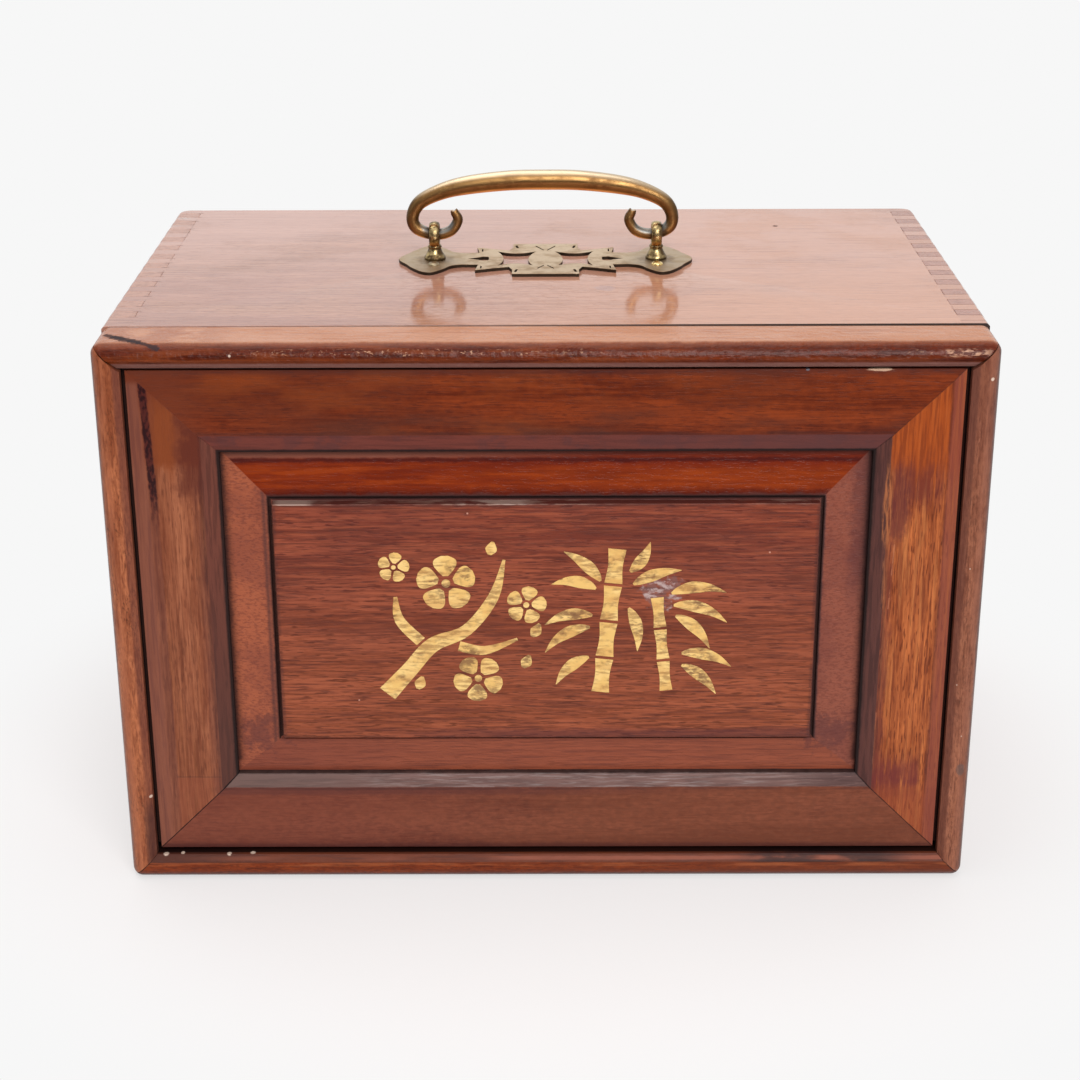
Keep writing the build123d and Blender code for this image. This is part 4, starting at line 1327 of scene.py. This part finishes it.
def right_stile_material():
    """The right stile: strongly streaked, with worn glints along its inner edge."""
    wood = member("right", (0.9, 0.6, 0), (174, 92, 48), bands=1.3, streaks=1.4, pores=0.8)
    wood.stain((204, 124, 70), 0.55, wood.streaks(1.2, 30, 0.3))
    wood.stain((116, 52, 30), 0.55, wood.streaks(0.9, 24, 0.34))
    corner = wood.above(wood.z, 123.5, 5, 9)
    wood.stain((170, 76, 22), 0.8, corner)
    wood.stain((122, 50, 20), 0.65, corner, wood.streaks(0.8, 14, 0.5))
    stain = wood.both(wood.band(wood.z, 114, 126.5, 5, 14), wood.above(wood.across, 4, 0.8))
    wood.stain((108, 44, 36), 0.7, stain, wood.streaks(1.3, 18, 0.62))
    ragged = wood.both(wood.above(wood.across, 13.2, 1.8, 9), wood.band(wood.z, 104, 127, 4, 12))
    wood.stain((100, 44, 42), 0.75, ragged, wood.streaks(2.4, 30, 0.7))
    purple = wood.both(wood.above(wood.across, 16.4, 0.9, 4), wood.band(wood.z, 34, 105, 6))
    wood.stain((104, 48, 44), 0.5, purple)
    low = wood.both(wood.band(wood.z, 26.5, 36, 5, 10), wood.above(wood.across, 5.5, 1, 3))
    wood.stain((110, 44, 42), 0.85, low, wood.streaks(1.4, 14, 0.8))
    foot = wood.both(wood.below(wood.z, 28, 3, 3), wood.streaks(3.0, 16, 0.85))
    wood.stain((140, 64, 40), 0.6, foot)
    margin = wood.below(wood.across, 3.3, 0.6, 0.8)
    wood.stain((132, 66, 54), 0.75, margin)
    wood.stain((168, 90, 52), 0.45, margin, wood.streaks(1.0, 30, 0.34))
    line = wood.band(wood.across, 3, 3.7, 0.3, 0.8)
    wood.stain(MAROON, 0.45, line, wood.patches(20, 0.6))
    for start, end, width in (
        ((92.5, -74.9, 36), (92.7, -74.9, 52), 0.2),
        ((92.2, -74.9, 60), (92.0, -74.9, 80), 0.18),
        ((94.2, -75, 84), (94.9, -75, 103), 0.2),
    ):
        worn = wood.both(wood.scratch(start, end, width, 0.6), wood.patches(4, 0.62))
        wood.stain((204, 128, 92), 0.4, worn)
    paint_slope(wood, (85, 50, 46), 0.6, 0.3)
    glint = wood.both(wood.band(wood.x, 91.4, 93.6, 0.5, 1.6), wood.band(wood.z, 104, 124, 4, 8))
    wood.stain((184, 110, 66), 0.7, glint, wood.streaks(0.5, 6, 0.5))
    thin = wood.both(wood.band(wood.x, 92.1, 93.1, 0.3, 1), wood.band(wood.z, 84, 104, 3))
    wood.stain((172, 104, 66), 0.5, thin, wood.streaks(0.4, 4, 0.45))
    wood.mitre(wood.across, wood.maths("SUBTRACT", wood.z, panel_bottom), 0.8)
    wood.mitre(wood.across, wood.maths("SUBTRACT", panel_top, wood.z), 0.3)
    return finish_member(wood)


def field_material():
    """The fielded panel: figured flat, and a raising of another shade on each side."""
    wood = Timber("field rosewood", "X", (0.7, 0, 0.4), (146, 72, 49), 0.34, 1.2, 1.6, 0.3, 1.0)
    low, high = (opening_low + bottom_margin) / MM, (opening_high - top_margin) / MM
    rise = wood.above(wood.z, (low + high) / 2 + 4, 30)
    wood.stain((128, 56, 42), 0.4, rise)
    wood.stain((154, 84, 48), 0.3, wood.away(rise))
    wood.stain((92, 42, 38), 0.35, wood.patches(20, 0.45, 0.25), rise)
    wood.stain((170, 88, 58), 0.45, wood.streaks(1.3, 26, 0.34))
    wood.stain((84, 38, 30), 0.6, wood.streaks(0.5, 10, 0.36))
    wood.stain((104, 50, 38), 0.4, wood.streaks(1.4, 30, 0.32))
    dark = wood.both(wood.band(wood.z, low, low + 2.6, 0.8, 2), wood.above(wood.x, -35, 30))
    wood.stain((84, 40, 42), 0.6, dark)

    side = wood.maths("ABSOLUTE", wood.x)
    to_side = wood.maths("DIVIDE", wood.maths("SUBTRACT", opening_half, side), side_margin)
    to_top = wood.maths("DIVIDE", wood.maths("SUBTRACT", opening_high, wood.z), top_margin)
    to_bottom = wood.maths("DIVIDE", wood.maths("SUBTRACT", wood.z, opening_low), bottom_margin)
    inward = wood.maths("MINIMUM", to_side, wood.maths("MINIMUM", to_top, to_bottom))
    raising = wood.away(wood.above(inward, 1.0, 0.02, unit=1))
    upright = wood.maths("MINIMUM", to_top, to_bottom)
    sides = wood.both(raising, wood.above(wood.maths("SUBTRACT", upright, to_side), 0.0, 0.02, 0.012, unit=1))
    top = wood.both(raising, wood.away(sides), wood.above(wood.z, (low + high) / 2, 10))
    bottom = wood.both(raising, wood.away(sides), wood.below(wood.z, (low + high) / 2, 10))
    paint_top_raising(wood, top, to_top)
    wood.stain((144, 75, 55), 0.65, bottom)
    wood.stain((104, 52, 42), 0.5, bottom, wood.streaks(0.7, 14, 0.36))
    wood.stain((122, 60, 48), 0.4, bottom, wood.below(wood.x, -50, 20))
    left, right = wood.both(sides, wood.below(wood.x, 0, 10)), wood.both(sides, wood.above(wood.x, 0, 10))
    wood.stain((174, 94, 64), 0.85, left)
    wood.stain((145, 81, 64), 0.85, right)
    wood.stain((108, 52, 42), 0.5, sides, wood.streaks(0.55, 1.3, 0.4))
    wood.stain((104, 50, 46), 0.35, sides, wood.patches(16, 0.4))
    # darker along the opening's edge, where the raising passes under the stile: painted shade
    wood.stain((78, 38, 36), 0.6, sides, wood.below(to_side, 0.05, 0.05, 0.2, unit=1))
    for side_x in (-1, 1):
        soiled = wood.both(wood.spot((side_x * 80, -74, 45), (8, 6, 6.5), 3.0), wood.patches(6, 0.6))
        wood.stain(PLUM, 0.5, soiled)
    wood.stain(PLUM, 0.5, right, wood.below(to_side, 0.34, 0.12, 0.5, unit=1), wood.above(wood.z, 86, 12))

    near = wood.both(raising, wood.away(bottom), wood.above(inward, 0.86, 0.035, 0.2, unit=1))
    wood.stain((84, 50, 46), 0.6, near, rough=0.7)
    wood.stain((74, 46, 46), 0.65, left, wood.band(inward, 0.775, 0.845, 0.035, 0.06, unit=1), rough=0.7)
    wood.stain((66, 40, 42), 0.7, right, wood.band(inward, 0.87, 0.9, 0.02, 0.03, unit=1), rough=0.7)
    # black in the quirk round the field, dark red at the bottom: dirt and painted shade
    crease = wood.both(raising, wood.band(inward, 0.885, 0.965, 0.02, 0.03, unit=1))
    wood.stain(BLACK, 0.85, crease, wood.away(bottom), rough=0.8)
    wood.stain((60, 28, 28), 0.6, crease, bottom, wood.above(wood.x, -30, 40), rough=0.7)
    near_edge = wood.both(
        wood.above(inward, 0.99, 0.01, unit=1), wood.below(inward, 1.06, 0.03, 0.05, unit=1)
    )
    wood.stain(GRIME_AND_SHADE, 0.4, near_edge, wood.patches(10, 0.7))
    # painted highlight along the field's upper edge, broken into patches
    highlight_zone = wood.maths(
        "MAXIMUM",
        wood.band(wood.x, -73.5, -63.5, 2, 4),
        wood.both(wood.band(wood.x, -23, -4, 3, 6), wood.patches(4, 0.6, 0.4)),
    )
    brow = wood.both(wood.band(wood.z, high - 0.3, high + 0.2, 0.15, 0.3), wood.away(raising))
    wood.stain((198, 172, 158), 0.85, brow, highlight_zone, rough=0.6)
    thin = wood.both(wood.patches(2.5, 0.45, 0.4), wood.patches(20, 0.5, 0.5))
    wood.stain((172, 138, 122), 0.6, brow, thin, rough=0.6)
    for x, z in ((-21.3, 112.6), (-52.5, 56.5), (61, 101)):
        wood.stain((206, 150, 130), 0.8, wood.spot((x, -75.3, z), (0.28, 1, 0.28), 0.4))
    scuff = wood.spot((32, -75.3, 89.5), (5.6, 3, 4.8), 2.2)
    wood.stain((122, 92, 90), 0.6, scuff, wood.patches(3, 0.75), rough=0.6)
    wood.stain((206, 184, 180), 0.7, scuff, wood.patches(1.2, 0.34, 0.5), rough=0.6)
    # black deep behind the face, away from the bottom edge: painted shade in the gap to the frame
    sunk = wood.both(wood.above(wood.y, FACE + 3.6, 0.3), wood.above(to_bottom, 0.25, 0.05, unit=1))
    wood.stain(BLACK, 0.85, sunk, wood.not_behind(), rough=0.8)
    return wood.varnish(0.12, 6, Specular_IOR_Level=0.22)


def paint_top_raising(wood, top, to_top):
    """The upper raising: fiery orange, with a pale strip and a maroon line above it and dark dirt below."""
    middle = wood.band(to_top, 0.3, 0.72, 0.1, 0.3, unit=1)
    outer = wood.below(to_top, 0.42, 0.1, 0.3, unit=1)
    foot = wood.above(to_top, 0.79, 0.09, 0.14, unit=1)
    wood.stain((128, 40, 5), 0.9, top, rough=0.25)
    wood.stain((164, 64, 11), 0.55, top, wood.streaks(2.2, 26, 0.42), middle)
    wood.stain((90, 22, 9), 0.45, top, wood.streaks(1.4, 18, 0.4))
    wood.stain((104, 26, 12), 0.4, top, wood.above(wood.x, -20, 50), outer)
    glow = wood.band(to_top, 0.34, 0.8, 0.1, 0.2, unit=1)
    wood.stain((156, 66, 16), 0.22, top, wood.above(wood.x, 0, 50), glow)
    strip = wood.both(top, wood.below(to_top, 0.17, 0.03, 0.05, unit=1), wood.below(wood.x, -10, 40))
    wood.stain((140, 84, 68), 0.75, strip)
    wood.stain(MAROON, 0.7, top, wood.band(to_top, 0.17, 0.25, 0.03, 0.1, unit=1))
    wood.stain((60, 14, 14), 0.7, top, foot, wood.patches(10, 0.85, 0.3))


def board_material(name, along, start, tone, rough=0.3):
    """A side, rear or base board."""
    wood = Timber(name, along, start, tone, rough)
    wood.stain(GRIME_AND_SHADE, 0.3, wood.patches(30, 0.35, **{along.lower(): 0.4}))
    wood.stain(GRIME_AND_SHADE, 0.4, wood.below(wood.z, 2.5, 1.5, 2))
    return wood


def cheek_material(side):
    """A side board, upright grain outside and the end grain of its fingers at the top."""
    start = (0.4, 0.1, 0) if side == "left" else (0.1, 0.5, 0)
    wood = board_material(f"{side} cheek rosewood", "Z", start, (146, 80, 54))
    tips = wood.above(wood.z, TOP - 0.12, 0.1)
    end_grain = (192, 140, 119) if side == "left" else (181, 127, 109)
    wood.stain(end_grain, 0.9, tips, rough=0.15)
    wood.stain(GRIME_AND_SHADE, 0.2, tips, wood.patches(2, 0.4), rough=0.4)
    finger_lines(wood)
    scratches = wood.patches(4, 0.25, y=0.15)
    wood.stain((190, 140, 118), 0.3, scratches, wood.patches(30, 0.45))
    return wood.varnish(0.2, 10)


# ---- brass ----
BRASS_FILM = (0.15, 0.085, 0.035, 1)
# painted warm light on faces turned down
UNDERSIDE_WARM_LIGHT = (0.9, 0.4, 0.13, 1)
WORN_GREY = (0.2, 0.24, 0.25, 1)


class Brass(Surface):
    """Old brass of one colour, with its film."""

    def __init__(self, name, metal, film=BRASS_FILM, cover=0.4, cloud=4.0, polish=0.27):
        super().__init__(name)
        feeds = {"Place": self.place, "Metal": metal, "Film": film, "Cover": cover}
        old = self.use(aged_brass, **feeds, Polish=polish, **{"Cloud Size": cloud * MM})
        self.colour, self.rough, self.relief = old["Color"], old["Roughness"], old["Relief"]

    def done(self):
        self.bumpy(self.relief, 0.03)
        return self.finish(Metallic=1.0)


def bail_brass():
    """The bail: pale on top, a painted highlight; dark at its sides, painted shade; coppery below, painted
    warm light over painted shade; grey at the eyes.
    """
    metal = Brass("bail brass", (0.3, 0.165, 0.06, 1), (0.2, 0.1, 0.036, 1), 0.38, 5.0, 0.33)
    # painted shade on the sides
    across = metal.maths("ABSOLUTE", metal.facing["X"])
    metal.lay((0.09, 0.048, 0.02, 1), smooth_step(metal.tree, across, 0.22, 0.75), 0.9)
    # painted highlight on top
    up = metal.turned_to("Z", 0.45, 1.0)
    metal.lay((0.66, 0.53, 0.37, 1), up, 0.9, 0.3)
    # painted shade below, with painted warm light on the faces turned furthest down
    down = metal.turned_to("Z", -0.1, -0.8)
    metal.lay((0.16, 0.08, 0.03, 1), down, 0.8, 0.45)
    metal.lay(UNDERSIDE_WARM_LIGHT, metal.turned_to("Z", -0.5, -0.8), 0.85, 0.3)
    for side in (-1, 1):
        rubbed = metal.spot((side * (eye_x / MM - 1.5), handle_y / MM, 170.9), (6.0, 4, 3.0), 0.9)
        metal.lay(WORN_GREY, metal.both(rubbed, metal.turned_to("Z", 0.0, 0.5)), 0.7, 0.4)
        low = metal.spot((side * (eye_x / MM + 0.4), handle_y / MM, 169.2), (3.2, 4, 2.6))
        metal.lay((0.04, 0.03, 0.025, 1), low, 0.75, 0.5)
    return metal.done()


def eye_brass():
    """The eye posts: khaki, with painted shade at the right, dark film round the neck and at the foot, and
    coppery painted warm light below.
    """
    metal = Brass("eye brass", (0.56, 0.42, 0.2, 1), (0.09, 0.055, 0.025, 1), 0.5, 1.8, 0.22)
    # painted shade on the side turned to the right
    metal.lay((0.1, 0.06, 0.025, 1), metal.turned_to("X", 0.1, 0.8), 0.7)
    grooves = metal.band(metal.z, PLATE + 2.6, PLATE + 4.2, 0.5, 1)
    metal.lay((0.05, 0.03, 0.015, 1), grooves, 0.5)
    metal.lay((0.06, 0.04, 0.02, 1), metal.below(metal.z, PLATE + 0.6, 0.3), 0.8, 0.5)
    # painted warm light on the faces turned down
    metal.lay(UNDERSIDE_WARM_LIGHT, metal.turned_to("Z", -0.3, -0.7), 0.8, 0.3)
    return metal.done()


def plate_brass():
    """The pierced plate: khaki satin face, browner at its lobes, with black painted shade on its sawn edges.
    """
    metal = Brass("plate brass", (0.62, 0.47, 0.31, 1), (0.4, 0.285, 0.18, 1), 0.42, 6.0, 0.4)
    outward = metal.maths("ABSOLUTE", metal.x)
    metal.lay((0.4, 0.3, 0.19, 1), metal.above(outward, 24, 5, 6), 0.75)
    for side in (-1, 1):
        stain = metal.spot((side * eye_x / MM, handle_y / MM - 1, 161), (6, 6, 3), 1.2)
        metal.lay((0.2, 0.13, 0.075, 1), stain, 0.6)
    # the sawn edges below the face: painted shade
    metal.lay((0.03, 0.02, 0.015, 1), metal.below(metal.z, PLATE - 0.1, 0.08, 0.1), 0.95, 0.6)
    return metal.done()


def tack_brass():
    """The right tack is bright, the left one dull."""
    metal = Brass("tack brass", (0.85, 0.64, 0.28, 1), (0.3, 0.2, 0.08, 1), 0.3, 1.5, 0.18)
    metal.lay((0.24, 0.2, 0.15, 1), metal.below(metal.x, 0, 1), 0.85, 0.45)
    return metal.done()


def knob_brass():
    """The knobs of the drawers; the washers under the lid are of the same brass."""
    return Brass("knob brass", (0.6, 0.44, 0.2, 1), (0.28, 0.18, 0.08, 1), 0.4, 3.0, 0.25).done()


def gold_leaf():
    """Gold leaf rubbed through along the grain."""
    leaf = Surface("worn gold leaf", shade(240, 194, 112), 0.45)
    leaf.stain((252, 214, 138), 0.7, leaf.patches(6, 0.5))
    leaf.stain((214, 156, 82), 0.55, leaf.patches(4, 0.4, 0.3))
    fine = leaf.both(leaf.patches(0.9, 0.42, 0.2), leaf.patches(6, 0.6))
    leaf.stain((150, 98, 44), 0.65, fine, rough=0.6)
    rubbed = leaf.both(leaf.patches(1.1, 0.5, 0.35), leaf.patches(9, 0.38))
    leaf.stain((108, 62, 32), 0.8, rubbed, rough=0.6)
    return leaf.finish(Specular_IOR_Level=0.6)


# ---- drawers and runners ----
def drawer_front_material():
    """The drawer fronts behind the panel."""
    wood = Timber("drawer front rosewood", "X", (0.9, 0.2, 0.1), (150, 80, 50), 0.4, 1.0, 0.9)
    return wood.varnish(0.1, 10)


def drawer_wood_material():
    """The pale, bare wood of the drawers and their runners."""
    wood = Timber("bare drawer wood", "Y", (0.2, 0.7, 0.3), (198, 158, 116), 0.6, 0.7, 0.6, 0.15, 0.2)
    wood.stain((150, 112, 80), 0.3, wood.patches(20, 0.3, y=0.3))
    return wood.varnish(0.05, 10)


# ---- assembly ----
dark_board = board_material("rear board rosewood", "X", (0.4, 0.3, 0), (146, 76, 48)).varnish(0.2, 10)
front_frame(
    {
        "top": top_moulding_material(),
        "bottom": base_moulding_material(),
        "left": left_moulding_material(),
        "right": right_moulding_material(),
    }
)
panel_frame(
    {
        "top": top_rail_material(),
        "bottom": bottom_rail_material(),
        "left": left_stile_material(),
        "right": right_stile_material(),
    }
)
raised_field(field_material())
eased_board("top_board", "lid_board", lid_material())
eased_board("bottom_board", "base_board", dark_board)
for side in ("left", "right"):
    eased_board(f"{side}_side_board", f"{side}_cheek", cheek_material(side))
eased_board("back_board", "rear_board", dark_board)
gold = gold_leaf()
gilded_motif("gilded_plum_spray", plum_spray, gold)
gilded_motif("gilded_bamboo_spray", bamboo_spray, gold)
posts = eye_brass()
bail(bail_brass())
handle_eye(-1, posts)
handle_eye(1, posts)
handle_plate(plate_brass())
tacks(tack_brass())
finishes = {"knob": knob_brass(), "front": drawer_front_material(), "other": drawer_wood_material()}
finishes["washers"] = finishes["knob"]
for drawer_number in range(1, 6):
    drawer_knob(drawer_number, finishes["knob"])
for node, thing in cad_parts.items():
    if not thing.hide_render:
        kind = node.rsplit("_", 1)[-1]
        thing.data.materials.clear()
        thing.data.materials.append(finishes.get(kind, finishes["other"]))

# ---- studio ----
BACKDROP = (0.93, 0.93, 0.93, 1)
# warm tint of the lit floor next to the object: painted bounce light from the red wood
FLOOR_WARM = (0.97, 0.92, 0.91, 1)
FLOOR_BOUNCE = (0.6, 0.585, 0.575, 1)  # the floor as it lights the object
FAR_FRONT = (0.05, 0.045, 0.04, 1)  # what reflections see of the floor far in front
FAR_FRONT_EDGE = (-0.5, -0.22)
FLOOR_FADE = (0.13, 0.22)  # distances between which the floor turns to the colour of the backdrop
FLOOR_EVEN = 0.6  # share of that colour next to the object
SKY_STRENGTH = 0.45  # of the light it gives; the camera and reflections see it at full strength
SKY_SHADE = 0.85  # share taken off its reflection low in front
CAMERA_PLACE = (0.188, -616.69, 322.53)  # millimetres
CAMERA_PITCH = math.radians(-21.91)
CAMERA_YAW = -0.0034
CAMERA_ROLL = -0.0035
LENS = 71.49  # millimetres, on a sensor 36 mm wide


def floor_material():
    """A pale floor with the object's soft shadow and a warm tint of painted bounce light next to it; further
    off it has the colour of the backdrop.
    """
    surface = Surface("studio floor")
    tree = surface.tree
    rays = add(tree, "LightPath").outputs
    output = tree.nodes["Material Output"]
    tree.nodes.remove(surface.shader)
    lit = add(tree, "BsdfDiffuse", {"Color": FLOOR_WARM}).outputs[0]
    even = add(tree, "Emission", {"Color": BACKDROP, "Strength": 1.0}).outputs[0]
    distance = vectors(tree, "LENGTH", surface.place)
    share = maths(tree, "MULTIPLY_ADD", smooth_step(tree, distance, *FLOOR_FADE), 1 - FLOOR_EVEN, FLOOR_EVEN)
    seen = add(tree, "MixShader", {0: share, 1: lit, 2: even}).outputs[0]
    bounce = add(tree, "BsdfDiffuse", {"Color": FLOOR_BOUNCE}).outputs[0]
    dim = add(tree, "BsdfDiffuse", {"Color": FAR_FRONT}).outputs[0]
    ahead = smooth_step(tree, surface.y, *FAR_FRONT_EDGE)
    mirrored = add(tree, "MixShader", {0: ahead, 1: dim, 2: seen}).outputs[0]
    other = add(tree, "MixShader", {0: rays["Is Glossy Ray"], 1: bounce, 2: mirrored}).outputs[0]
    total = add(tree, "MixShader", {0: rays["Is Camera Ray"], 1: other, 2: seen}).outputs[0]
    tree.links.new(total, output.inputs["Surface"])
    return surface.material


def studio():
    """The floor, and a sky that lights the object evenly."""
    bm = bmesh.new()
    bmesh.ops.create_circle(bm, cap_ends=True, segments=96, radius=6)
    mesh = bpy.data.meshes.new("studio_floor")
    bm.to_mesh(mesh)
    bm.free()
    floor = bpy.data.objects.new("studio_floor", mesh)
    bpy.context.scene.collection.objects.link(floor)
    mesh.materials.append(floor_material())

    world = bpy.data.worlds.new("studio")
    bpy.context.scene.world = world
    world.use_nodes = True
    tree = world.node_tree
    rays = add(tree, "LightPath").outputs
    shown = maths(tree, "MAXIMUM", rays["Is Camera Ray"], rays["Is Glossy Ray"])
    shown = maths(tree, "MAXIMUM", shown, rays["Is Transmission Ray"])
    back = tree.nodes["Background"]
    back.inputs["Color"].default_value = BACKDROP
    strength = maths(tree, "MULTIPLY_ADD", shown, 1 - SKY_STRENGTH, SKY_STRENGTH)
    way = add(tree, "SeparateXYZ", {0: add(tree, "TexCoord").outputs["Generated"]}).outputs
    low = opposite(tree, smooth_step(tree, way["Z"], 0.3, 0.75))
    forward = opposite(tree, smooth_step(tree, way["Y"], -0.75, -0.3))
    shaded = maths(tree, "MULTIPLY", maths(tree, "MULTIPLY", low, forward), rays["Is Glossy Ray"])
    strength = maths(tree, "MULTIPLY", strength, maths(tree, "MULTIPLY_ADD", shaded, -SKY_SHADE, 1.0))
    tree.links.new(strength, back.inputs["Strength"])


def softbox(name, place, aim, size, power):
    """A square soft lamp that shines from place towards aim."""
    data = bpy.data.lights.new(name, "AREA")
    data.size = size
    data.energy = power
    lamp = bpy.data.objects.new(name, data)
    bpy.context.scene.collection.objects.link(lamp)
    lamp.location = place
    lamp.rotation_euler = (Vector(aim) - Vector(place)).to_track_quat("-Z", "Y").to_euler()


def camera():
    """The camera, 539 mm in front of the case, looking down at it."""
    forward = Vector(
        (
            math.sin(CAMERA_YAW) * math.cos(CAMERA_PITCH),
            math.cos(CAMERA_YAW) * math.cos(CAMERA_PITCH),
            math.sin(CAMERA_PITCH),
        )
    )
    level = Vector((math.cos(CAMERA_YAW), -math.sin(CAMERA_YAW), 0))
    upward = level.cross(forward)
    across = level * math.cos(CAMERA_ROLL) + upward * math.sin(CAMERA_ROLL)
    above = upward * math.cos(CAMERA_ROLL) - level * math.sin(CAMERA_ROLL)
    data = bpy.data.cameras.new("camera")
    data.sensor_width = 36
    data.lens = LENS
    seen = bpy.data.objects.new("camera", data)
    bpy.context.scene.collection.objects.link(seen)
    place = Matrix((across, above, -forward)).transposed().to_4x4()
    place.translation = Vector(CAMERA_PLACE) * MM
    seen.matrix_world = place
    bpy.context.scene.camera = seen


studio()
softbox("overhead lamp", (-0.15, 0.15, 1.1), (0, 0, 0.1), 0.9, 4.9)
softbox("front lamp", (0.3, -1.2, 0.85), (0, 0, 0.08), 0.8, 14.0)
camera()
bpy.context.scene.view_settings.view_transform = "Standard"
